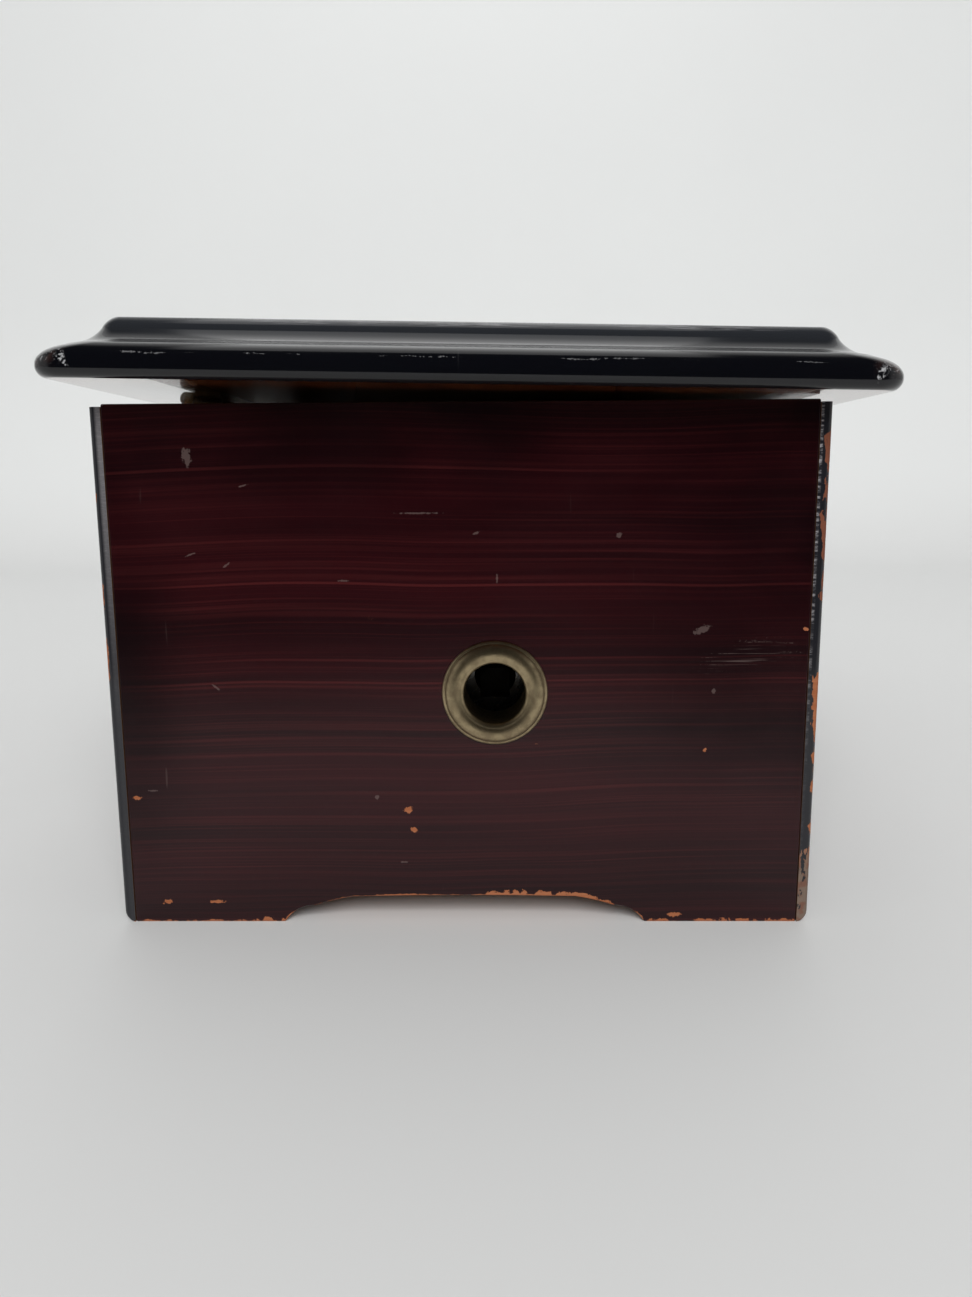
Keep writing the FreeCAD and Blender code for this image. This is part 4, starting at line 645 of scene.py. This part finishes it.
# Black lid lacquer: the moulding map runs along the edge in u and up the profile in v
def lid_lacquer():
    made, tree, bsdf, where = material("lid_black_lacquer", Coat_Weight=0.8, Coat_Roughness=0.11,
                                       Specular_IOR_Level=0.1)
    edge_map = add(tree, "ShaderNodeUVMap", {}, uv_map="moulding").outputs[0]
    v = split(tree, edge_map)[1]
    marks = place_group(tree, MARKS, {"Coordinates": where})
    broken = remap(tree, noise(tree, where, scale=1100.0, detail=3.0, rough=0.6), 0.42, 0.58)
    nicks = nose_nicks(tree, where, v, broken)
    corner = lid_corners(tree, where, v)
    lumps = noise(tree, where, scale=420.0, detail=4.0, rough=0.65)
    specks = noise(tree, where, scale=1500.0, detail=3.0, rough=0.65)
    worn = times(tree, corner, remap(tree, lumps, 0.42, 0.6))
    # Pale flecks on the worn corners, partly chips and partly painted highlights
    flecks_and_highlights = times(tree, corner, remap(tree, specks, 0.56, 0.66))
    pale = most(tree, times(tree, nicks, 0.30), times(tree, bead_rub(tree, where, edge_map, v), 0.5))
    # Painted highlights on the two corners at the winding end, broken up
    for centre, tilt in LID_CORNER_HIGHLIGHTS:
        sockets = {"Coordinates": where, "Centre": centre, "Half Size": CORNER_HIGHLIGHT_HALF_SIZE,
                   "Tilt": math.radians(tilt)}
        corner_highlight = place_group(tree, NICK, sockets)["Mask"]
        pale = most(tree, pale, times(tree, corner_highlight, broken))
    pale = most(tree, pale, times(tree, flecks_and_highlights, 0.7))
    pale = most(tree, pale, times(tree, marks["Scratch"], 0.05))
    # Lighter bluish grey over the cove, between the nose and the bead
    cove_grey = times(tree, remap(tree, v, NOSE_RIDGE + 4 * MM, BEAD_RIDGE),
                 remap(tree, v, BEAD_RIDGE + 6 * MM, BEAD_RIDGE + 2 * MM))
    colour = blend_colour(tree, cove_grey, LID_BLACK, LID_COVE_GREY)
    colour = blend_colour(tree, times(tree, worn, 0.8), colour, LID_WORN_BROWN)
    # Pale wear, with the painted corner highlights
    colour = blend_colour(tree, pale, colour, LID_PALE_WEAR_AND_HIGHLIGHT)
    polished_rough = remap(tree, marks["Dull"], 0.0, 1.0, 0.12, 0.26)
    rough = plus(tree, polished_rough, times(tree, pale, 0.5))
    ripple = times(tree, noise(tree, where, scale=320.0), 0.05)
    height = minus(tree, ripple, most(tree, nicks, flecks_and_highlights))
    finish_with(tree, bsdf, colour, rough, height, depth=0.3, strength=0.3)
    return made


def lid_under_varnish():
    made, tree, bsdf, where = material("lid_under_varnish", Coat_Weight=1.0, Coat_Roughness=0.03, IOR=1.5)
    grain = flat_graining(tree, where, along=4.0, across=300.0)
    base = blend_colour(tree, grain["Broad"], VARNISH_BROWN, VARNISH_AMBER)
    colour = blend_colour(tree, times(tree, grain["Lines"], 0.5), base, VARNISH_LINE)
    rough = remap(tree, grain["Brush"], 0.0, 1.0, 0.12, 0.25)
    finish_with(tree, bsdf, colour, rough, grain["Brush"], depth=0.1, strength=0.12)
    return made


def lid_top_grain():
    made, tree, bsdf, where = material("lid_top_graining", Coat_Weight=0.7, Coat_Roughness=0.08,
                                       Specular_IOR_Level=0.1)
    grain = flat_graining(tree, where, along=4.0, across=300.0)
    marks = place_group(tree, MARKS, {"Coordinates": where})
    colour = blend_colour(tree, 1.0, grained_colour(tree, grain, TOP_LINES), FADED, "MULTIPLY")
    colour = blend_colour(tree, times(tree, marks["Scratch"], 0.15), colour, TOP_SCRATCH)
    rough = remap(tree, marks["Dull"], 0.0, 1.0, 0.22, 0.38)
    finish_with(tree, bsdf, colour, rough, grain["Brush"], depth=0.1, strength=0.15)
    return made


def plain_wood(name, pale, brown, line):
    made, tree, bsdf, where = material(name, IOR=1.4)
    grain = flat_graining(tree, where, along=5.0, across=260.0)
    base = blend_colour(tree, grain["Broad"], brown, pale)
    colour = blend_colour(tree, times(tree, grain["Lines"], 0.5), base, line)
    rough = remap(tree, grain["Brush"], 0.0, 1.0, 0.55, 0.75)
    finish_with(tree, bsdf, colour, rough, grain["Brush"], depth=0.2, strength=0.3)
    return made


def metal(name, bright, dull, cloud, smoothest, roughest):
    made, tree, bsdf, where = material(name, Metallic=1.0)
    tarnish = place_group(tree, TARNISH, {"Coordinates": where, "Cloud": cloud})
    colour = blend_colour(tree, tarnish["Patch"], bright, dull)
    colour = blend_colour(tree, remap(tree, tarnish["Grit"], 0.62, 0.75, 0.0, 0.5), colour, dull)
    rough = remap(tree, tarnish["Patch"], 0.0, 1.0, smoothest, roughest)
    finish_with(tree, bsdf, colour, rough, tarnish["Turning"], depth=0.06, strength=0.12)
    return made


def bronze_paint():
    made, tree, bsdf, where = material("bed_bronze_paint", Metallic=0.35, IOR=1.45)
    tarnish = place_group(tree, TARNISH, {"Coordinates": where, "Cloud": 70.0})
    colour = blend_colour(tree, tarnish["Patch"], BRONZE, DULL_BRONZE)
    colour = blend_colour(tree, remap(tree, tarnish["Grit"], 0.55, 0.7, 0.0, 0.35), colour, BRONZE_FLAKE)
    rough = remap(tree, tarnish["Patch"], 0.0, 1.0, 0.42, 0.6)
    finish_with(tree, bsdf, colour, rough, tarnish["Grit"], depth=0.1, strength=0.3)
    return made


# Camera at the photograph's viewing angle
def place_camera():
    pitch, yaw, roll = (math.radians(a) for a in (CAMERA_PITCH, CAMERA_YAW, CAMERA_ROLL))
    ahead = Vector((math.cos(yaw) * math.cos(pitch), -math.sin(yaw) * math.cos(pitch), -math.sin(pitch)))
    right = Vector((-math.sin(yaw), -math.cos(yaw), 0))
    up = Vector((math.cos(yaw) * math.sin(pitch), -math.sin(yaw) * math.sin(pitch), math.cos(pitch)))
    turned_right = right * math.cos(roll) - up * math.sin(roll)
    turned_up = right * math.sin(roll) + up * math.cos(roll)
    data = bpy.data.cameras.new("photo_view")
    data.sensor_width = SENSOR
    data.lens = FOCAL_PIXELS * SENSOR / PHOTO_HEIGHT
    data.clip_start = NEAREST_SEEN * MM
    camera = bpy.data.objects.new("photo_view", data)
    camera.matrix_world = Matrix((turned_right, turned_up, -ahead)).transposed().to_4x4()
    camera.location = (CASE_LEFT - CAMERA_FROM_END * MM, CAMERA_Y * MM, CAMERA_Z * MM)
    bpy.context.scene.collection.objects.link(camera)
    bpy.context.scene.camera = camera


place_camera()


def new_piece(name, bm, materials):
    mesh = bpy.data.meshes.new(name)
    bm.to_mesh(mesh)
    bm.free()
    piece = bpy.data.objects.new(name, mesh)
    for made in materials:
        mesh.materials.append(made)
    bpy.context.scene.collection.objects.link(piece)
    return piece


# Outline of a board with rounded corners, set in from its box
def rounded_loop(low, high, inset, corner, height):
    steps = 12
    left, right = low.x + inset + corner, high.x - inset - corner
    near, far = low.y + inset + corner, high.y - inset - corner
    loop = []
    for cx, cy, first in ((right, near, -90), (right, far, 0), (left, far, 90), (left, near, 180)):
        for k in range(steps + 1):
            a = math.radians(first + 90 * k / steps)
            loop.append(Vector((cx + corner * math.cos(a), cy + corner * math.sin(a), height)))
    return loop


# Radius of the lid's plan corner at one level of the moulding
def lid_corner_radius(inset, height):
    if height > NOSE_OUT[1]:
        return min(LID_CORNER + CORNER_WIDENS * inset, LID_CORNER_WORN - CORNER_NARROWS * inset)
    return LID_CORNER - inset


def lid_board():
    tilt = math.atan((LID_GAP_BACK - LID_GAP_FRONT) * MM / (CASE_BACK - CASE_FRONT))
    low = lid_low + Vector((0, LACQUER_EASE * MM, 0))
    high = lid_high - Vector((0, LACQUER_EASE * MM, 0))
    under = CASE_TOP + LID_GAP_BACK * MM
    bm = bmesh.new()
    uv = bm.loops.layers.uv.new("moulding")

    def ring(inset, corner, height):
        return [bm.verts.new(p) for p in rounded_loop(low, high, inset * MM, corner * MM, height)]

    rings = []
    for inset, height in moulding:
        rings.append(ring(inset, lid_corner_radius(inset, height), under + height * MM))
    count = len(rings[0])
    measured = rings[BOTTOM_STEPS // 2]
    run = [0.0]
    for k in range(count):
        run.append(run[-1] + (measured[(k + 1) % count].co - measured[k].co).length)
    for level, (lower, upper) in enumerate(zip(rings, rings[1:])):
        for k in range(count):
            after = (k + 1) % count
            face = bm.faces.new((lower[k], lower[after], upper[after], upper[k]))
            face.smooth = True
            corners = ((run[k], lengths[level]), (run[k + 1], lengths[level]),
                       (run[k + 1], lengths[level + 1]), (run[k], lengths[level + 1]))
            for loop, place in zip(face.loops, corners):
                loop[uv].uv = place
    rim = ring(VENEER_MARGIN, VENEER_CORNER, under + LID_THICK * MM)
    floor = [bm.verts.new(p.co - Vector((0, 0, VENEER_DEPTH * MM))) for p in rim]
    for outer, inner in ((rings[-1], rim), (rim, floor)):
        for k in range(count):
            after = (k + 1) % count
            face = bm.faces.new((outer[k], outer[after], inner[after], inner[k]))
            for loop in face.loops:
                loop[uv].uv = OFF_MOULDING
    bm.faces.new(floor)
    underside = bm.faces.new(list(reversed(rings[0])))
    underside.material_index = 1
    bmesh.ops.recalc_face_normals(bm, faces=bm.faces)
    pivot = Vector((0, CASE_BACK, under))
    turn = Matrix.Translation(pivot) @ Matrix.Rotation(tilt, 4, "X") @ Matrix.Translation(-pivot)
    bmesh.ops.transform(bm, matrix=turn, verts=bm.verts)
    piece = new_piece("lid_moulded_board", bm, [lid_lacquer(), lid_under_varnish()])
    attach(piece, "lid")
    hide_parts("lid_board")


lid_board()

# Merging and flattening of a CAD surface, in millimetres and degrees, and the angle of a sharp edge
MERGE_WITHIN = 0.002
FLAT_WITHIN = 0.4
SHARP_FROM = 32
# A face looks into the case where its normal leads back towards the middle by this, in millimetres
LOOKS_IN = -20.0


# Outer bottom edges of the long panels' feet, worn round
def round_feet(bm):
    outer = max((v.co.y for v in bm.verts), key=abs)
    inner = outer - math.copysign(LIP * MM, outer)
    radius = FOOT_WORN * MM
    for turn in range(FOOT_STEP_DEGREES, 90 + FOOT_STEP_DEGREES, FOOT_STEP_DEGREES):
        height = radius * (1 - math.cos(math.radians(turn)))
        bmesh.ops.bisect_plane(bm, geom=bm.verts[:] + bm.edges[:] + bm.faces[:], plane_co=(0, 0, height),
                               plane_no=(0, 0, 1))
    for v in bm.verts:
        if v.co.z < radius and abs(v.co.y) > abs(inner):
            worn = radius - math.sqrt(radius ** 2 - (radius - v.co.z) ** 2)
            v.co.y = inner + (v.co.y - inner) * (1 - worn / (LIP * MM))


# Second finish on the faces of a case panel that look into the case
def finish_inside(bm):
    for face in bm.faces:
        outward = face.calc_center_median() - Vector((0, CASE_MIDDLE, 0))
        flat_on = Vector((face.normal.x, face.normal.y, 0)).dot(Vector((outward.x, outward.y, 0)))
        face.material_index = 1 if flat_on < LOOKS_IN * MM else 0


# A CAD node's surface with merged corners, rounded edges and smooth curves, standing for the node
def finished_copy(node, finishes, edge, segments):
    bm = bmesh.new()
    bm.from_mesh(frame["nodes"][node].data)
    bmesh.ops.remove_doubles(bm, verts=bm.verts, dist=MERGE_WITHIN * MM)
    bmesh.ops.dissolve_limit(bm, angle_limit=math.radians(FLAT_WITHIN), verts=bm.verts, edges=bm.edges)
    if node in ("front_panel", "back_panel"):
        round_feet(bm)
    for face in bm.faces:
        face.smooth = True
    limit = math.radians(SHARP_FROM)
    for line in bm.edges:
        line.smooth = line.is_manifold and line.calc_face_angle(0.0) < limit
    if len(finishes) > 1:
        finish_inside(bm)
    piece = new_piece(node + "_finish", bm, finishes)
    if edge:
        bevel = piece.modifiers.new("eased_edges", "BEVEL")
        bevel.width = edge * MM
        bevel.segments = segments
        bevel.limit_method = "ANGLE"
        bevel.angle_limit = limit
        bevel.use_clamp_overlap = True
        bevel.harden_normals = True
    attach(piece, frame["nodes"][node]["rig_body"])
    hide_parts(node)


END_PAINT = end_panel_paint()
LONG_PAINT = long_panel_paint()
WOOD = plain_wood("bare_softwood", pale=(0.42, 0.26, 0.13, 1), brown=(0.30, 0.17, 0.08, 1),
                  line=(0.22, 0.11, 0.05, 1))
INSIDE = plain_wood("stained_inside", pale=(0.22, 0.105, 0.048, 1), brown=(0.15, 0.068, 0.032, 1),
                    line=(0.10, 0.042, 0.02, 1))
AGED_BRASS = metal("aged_ferrule_brass", bright=(0.44, 0.35, 0.21, 1), dull=(0.31, 0.24, 0.145, 1),
                   cloud=420.0, smoothest=0.34, roughest=0.46)
BRASS = metal("movement_brass", bright=(0.63, 0.43, 0.16, 1), dull=(0.52, 0.345, 0.12, 1),
              cloud=240.0, smoothest=0.24, roughest=0.36)
# Hinge brass, aged and darkened further as painted shade for its place under the lid
HINGE_BRASS_IN_SHADE = metal("hinge_brass_darkened_as_shade", bright=(0.16, 0.105, 0.045, 1), dull=(0.07, 0.045, 0.022, 1),
                   cloud=200.0, smoothest=0.35, roughest=0.5)
STEEL = metal("polished_steel", bright=(0.46, 0.45, 0.43, 1), dull=(0.36, 0.35, 0.335, 1),
              cloud=220.0, smoothest=0.24, roughest=0.36)
BLUED = metal("blued_screw_steel", bright=(0.045, 0.06, 0.13, 1), dull=(0.03, 0.032, 0.05, 1),
              cloud=300.0, smoothest=0.25, roughest=0.4)
# Winding arbor steel painted near black: painted shade for the dark hole round it
ARBOR_HOLE_SHADE = metal("arbor_steel_hole_shade", bright=(0.009, 0.0085, 0.008, 1), dull=(0.005, 0.0045, 0.004, 1),
                cloud=200.0, smoothest=0.55, roughest=0.7)
LEAD = metal("lead_grey", bright=(0.20, 0.20, 0.21, 1), dull=(0.12, 0.12, 0.13, 1),
             cloud=300.0, smoothest=0.5, roughest=0.65)
BED_PAINT = bronze_paint()
LID_TOP = lid_top_grain()

# Widths of eased edges in millimetres, and the segments across them
WOOD_EDGE = 0.3
LIP_EDGE = 0.6
METAL_EDGE = 0.25
TOOTH_EDGE = 0.06
WOOD_SEGMENTS = 3
METAL_SEGMENTS = 2

WOOD_NODES = {"left_end_panel": [END_PAINT, INSIDE], "right_end_panel": [END_PAINT, INSIDE],
              "front_panel": [LONG_PAINT, INSIDE], "back_panel": [LONG_PAINT, INSIDE],
              "base_board": [WOOD], "glue_blocks": [WOOD], "lid_veneer": [LID_TOP]}
OTHER_EDGES = {"front_panel": LIP_EDGE, "back_panel": LIP_EDGE, "lid_veneer": 0.0}
for node, finishes in WOOD_NODES.items():
    finished_copy(node, finishes, OTHER_EDGES.get(node, WOOD_EDGE), WOOD_SEGMENTS)

SLOT_METALS = {"movement_brass": BRASS, "aged_brass": AGED_BRASS, "steel": STEEL, "bed_paint": BED_PAINT,
               "lead": LEAD}
# The arbor carries the painted shade of its hole, and the hinges carry the painted shade under the lid
SPECIAL_METALS = {"winding_arbor": ARBOR_HOLE_SHADE, "hinge_lower_leaves": HINGE_BRASS_IN_SHADE,
                  "hinge_upper_leaves": HINGE_BRASS_IN_SHADE, "hinge_screws_case": HINGE_BRASS_IN_SHADE,
                  "hinge_screws_lid": HINGE_BRASS_IN_SHADE, "hinge_pins": HINGE_BRASS_IN_SHADE}
FINE_NODES = {"cylinder_wheel", "barrel_wheel", "second_wheel", "worm_wheel", "cylinder_pinion",
              "second_pinion", "third_pinion", "comb", "endless_screw", "mainspring", "ratchet_wheel"}
for node, slot in sorted(slots.items()):
    if slot not in SLOT_METALS or node == "cylinder_pins":
        continue
    made = SPECIAL_METALS.get(node, BLUED if "screws" in node else SLOT_METALS[slot])
    finished_copy(node, [made], TOOTH_EDGE if node in FINE_NODES else METAL_EDGE, METAL_SEGMENTS)

# Cylinder pins, sizes in millimetres: each stands on the track of one tune, beside the middle of its row
PIN_ROWS = 50
PINS_IN_ROW = 26
TUNE_STEP = 0.4
TUNES_TO_SIDE = 2
PIN_SUNK = 0.05
PIN_LENGTH = 0.9
PIN_RADIUS = 0.22
PIN_TIP_SHARE = 0.85
PIN_SIDES = 6


# Steel pins set round the cylinder, in rows along its length
def pin_rows_tree():
    tree = bpy.data.node_groups.new("cylinder_pin_rows", "GeometryNodeTree")
    for label, kind in (("Rows", WHOLE), ("Pins In Row", WHOLE), ("First Row", FLOAT), ("Row Pitch", FLOAT),
                        ("Tune Step", FLOAT), ("Axis", VECTOR), ("Seat Radius", FLOAT),
                        ("Pin Length", FLOAT), ("Pin Radius", FLOAT), ("Seed", WHOLE),
                        ("Finish", "NodeSocketMaterial")):
        tree.interface.new_socket(label, in_out="INPUT", socket_type=kind)
    tree.interface.new_socket("Geometry", in_out="OUTPUT", socket_type="NodeSocketGeometry")
    source = tree.nodes.new("NodeGroupInput").outputs
    index = tree.nodes.new("GeometryNodeInputIndex").outputs[0]
    row = sums(tree, "FLOOR", sums(tree, "DIVIDE", index, source["Pins In Row"]))
    place = sums(tree, "MODULO", index, source["Pins In Row"])
    tune = add(tree, "FunctionNodeRandomValue",
               {4: -TUNES_TO_SIDE, 5: TUNES_TO_SIDE, "Seed": source["Seed"]}, data_type="INT").outputs[2]
    stray = add(tree, "FunctionNodeRandomValue",
                {2: 0.0, 3: 1.0, "Seed": source["Seed"]}, data_type="FLOAT").outputs[1]
    along = plus(tree, source["First Row"], times(tree, row, source["Row Pitch"]))
    along = plus(tree, along, times(tree, tune, source["Tune Step"]))
    share = sums(tree, "DIVIDE", plus(tree, place, stray), source["Pins In Row"])
    turn = times(tree, share, math.tau)
    out_y = times(tree, sums(tree, "SINE", turn), times(tree, source["Seat Radius"], -1.0))
    out_z = times(tree, sums(tree, "COSINE", turn), source["Seat Radius"])
    seat = add(tree, "ShaderNodeCombineXYZ", {0: along, 1: out_y, 2: out_z}).outputs[0]
    seat = add(tree, "ShaderNodeVectorMath", {0: seat, 1: source["Axis"]}, operation="ADD").outputs[0]
    pin_count = times(tree, source["Rows"], source["Pins In Row"])
    points = add(tree, "GeometryNodePoints", {"Count": pin_count, "Position": seat}).outputs[0]
    tip_radius = times(tree, source["Pin Radius"], PIN_TIP_SHARE)
    pin = add(tree, "GeometryNodeMeshCone", {"Vertices": PIN_SIDES, "Radius Bottom": source["Pin Radius"],
                                             "Radius Top": tip_radius,
                                             "Depth": source["Pin Length"]}).outputs["Mesh"]
    lean = add(tree, "ShaderNodeCombineXYZ", {0: turn}).outputs[0]
    lean = add(tree, "FunctionNodeEulerToRotation", {0: lean}).outputs[0]
    pins = add(tree, "GeometryNodeInstanceOnPoints",
               {"Points": points, "Instance": pin, "Rotation": lean}).outputs[0]
    solid = add(tree, "GeometryNodeRealizeInstances", {"Geometry": pins}).outputs[0]
    finished = add(tree, "GeometryNodeSetMaterial",
                   {"Geometry": solid, "Material": source["Finish"]}).outputs[0]
    tree.links.new(finished, tree.nodes.new("NodeGroupOutput").inputs["Geometry"])
    return tree


# The plain mesh that a node tree makes from its named sizes
def mesh_from_tree(name, tree, values):
    maker = bpy.data.objects.new(name + "_maker", bpy.data.meshes.new(name + "_maker"))
    bpy.context.scene.collection.objects.link(maker)
    nodes = maker.modifiers.new(name, "NODES")
    nodes.node_group = tree
    for socket in tree.interface.items_tree:
        if socket.in_out == "INPUT":
            nodes[socket.identifier] = values[socket.name]
    seen = maker.evaluated_get(bpy.context.evaluated_depsgraph_get())
    mesh = bpy.data.meshes.new_from_object(seen)
    bpy.data.objects.remove(maker)
    piece = bpy.data.objects.new(name, mesh)
    bpy.context.scene.collection.objects.link(piece)
    return piece


def cylinder_pins():
    pitch = (tube_high.x - tube_low.x) / PIN_ROWS
    sizes = {"Rows": PIN_ROWS, "Pins In Row": PINS_IN_ROW, "First Row": tube_low.x + pitch / 2,
             "Row Pitch": pitch, "Tune Step": TUNE_STEP * MM, "Axis": (0.0, AXIS_Y, AXIS_Z),
             "Seat Radius": TUBE_R - PIN_SUNK * MM, "Pin Length": PIN_LENGTH * MM,
             "Pin Radius": PIN_RADIUS * MM, "Seed": SEED, "Finish": STEEL}
    piece = mesh_from_tree("cylinder_pin_rows", pin_rows_tree(), sizes)
    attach(piece, "cylinder")
    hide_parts("cylinder_pins")


cylinder_pins()

# Pale paper sweep in metres: floor from behind the camera, a curve, and the upright backdrop
SWEEP_NEAR = (-0.45, 0.0)
SWEEP_BEND = (0.75, 0.0)
SWEEP_CURVE = (1.0, 0.104)
SWEEP_RISE = (1.104, 0.354)
SWEEP_TOP = (1.104, 1.7)
SWEEP_STEPS = 12
SWEEP_HALF_WIDTH = 1.9
BACKDROP_FROM = 0.12
FLOOR_PALE = (0.755, 0.76, 0.755, 1)
BACKDROP_PALER_AS_LIT = (0.79, 0.80, 0.795, 1)
PAPER_SHADE = (0.6, 0.6, 0.6, 1)


# Pale seamless floor and backdrop
def stage():
    bm = bmesh.new()
    profile = [SWEEP_NEAR, SWEEP_BEND] + arc(SWEEP_BEND, SWEEP_CURVE, SWEEP_RISE, SWEEP_STEPS) + [SWEEP_TOP]
    sides = (-SWEEP_HALF_WIDTH, SWEEP_HALF_WIDTH)
    rows = [[bm.verts.new((x, y, z)) for x, z in profile] for y in sides]
    for k in range(len(profile) - 1):
        bm.faces.new((rows[0][k], rows[0][k + 1], rows[1][k + 1], rows[1][k])).smooth = True
    bmesh.ops.recalc_face_normals(bm, faces=bm.faces)
    made, tree, bsdf, where = material("pale_paper", Roughness=0.6)
    z = split(tree, where)[2]
    # The upright backdrop paler than the floor: painted light, as if more light fell on it
    colour = blend_colour(tree, remap(tree, z, 0.0, BACKDROP_FROM), FLOOR_PALE, BACKDROP_PALER_AS_LIT)
    shade = remap(tree, noise(tree, where, scale=3.0), 0.3, 0.7, 0.0, 0.05)
    tree.links.new(blend_colour(tree, shade, colour, PAPER_SHADE), bsdf.inputs["Base Color"])
    sweep = new_piece("pale_sweep", bm, [made])


# Soft lamp in metres and watts, seen in reflections or not
def soft_light(name, place, aim, size, power, mirrored):
    data = bpy.data.lights.new(name, "AREA")
    data.shape = "RECTANGLE"
    data.size, data.size_y = size
    data.energy = power
    lamp = bpy.data.objects.new(name, data)
    lamp.location = place
    lamp.rotation_euler = (Vector(aim) - Vector(place)).to_track_quat("-Z", "Y").to_euler()
    lamp.visible_glossy = mirrored
    bpy.context.scene.collection.objects.link(lamp)


stage()
soft_light("overhead_soft", place=(0.55, 0.05, 1.35), aim=(0.55, 0.05, 0), size=(1.5, 0.8), power=2.9,
           mirrored=True)
soft_light("front_soft", place=(-3.8, -0.2, 2.7), aim=(-0.3, 0, 0), size=(3.4, 2.2), power=168.0,
           mirrored=False)

# Strength of the room: on matt surfaces, in reflections of its dim and bright parts, and as seen
ROOM_LIGHT = 0.36
DIM_REFLECTION = 0.03
BRIGHT_REFLECTION = 0.45
ROOM_SEEN = 0.70
ROOM_WHITE = (1.0, 1.0, 0.995, 1)
# Where the reflected room turns bright, as shares of a direction behind the box and to its sides
BRIGHT_BEHIND = (0.15, 0.5)
BRIGHT_BESIDE = (0.6, 0.85)


# Even room light, with a dim room before the winding end in the reflections
def room_light():
    world = bpy.data.worlds.new("soft_room")
    bpy.context.scene.world = world
    world.use_nodes = True
    tree = world.node_tree
    path = tree.nodes.new("ShaderNodeLightPath").outputs
    along_x, along_y = split(tree, tree.nodes.new("ShaderNodeTexCoord").outputs["Generated"])[:2]
    behind = remap(tree, along_x, *BRIGHT_BEHIND)
    beside = remap(tree, size_of(tree, along_y), *BRIGHT_BESIDE)
    mirrored = remap(tree, most(tree, behind, beside), 0.0, 1.0, DIM_REFLECTION, BRIGHT_REFLECTION,
                     kind="LINEAR")
    level = blend_value(tree, path["Is Glossy Ray"], ROOM_LIGHT, mirrored)
    level = blend_value(tree, path["Is Camera Ray"], level, ROOM_SEEN)
    background = tree.nodes["Background"]
    background.inputs["Color"].default_value = ROOM_WHITE
    tree.links.new(level, background.inputs["Strength"])


room_light()

bpy.context.scene.view_settings.view_transform = "Standard"
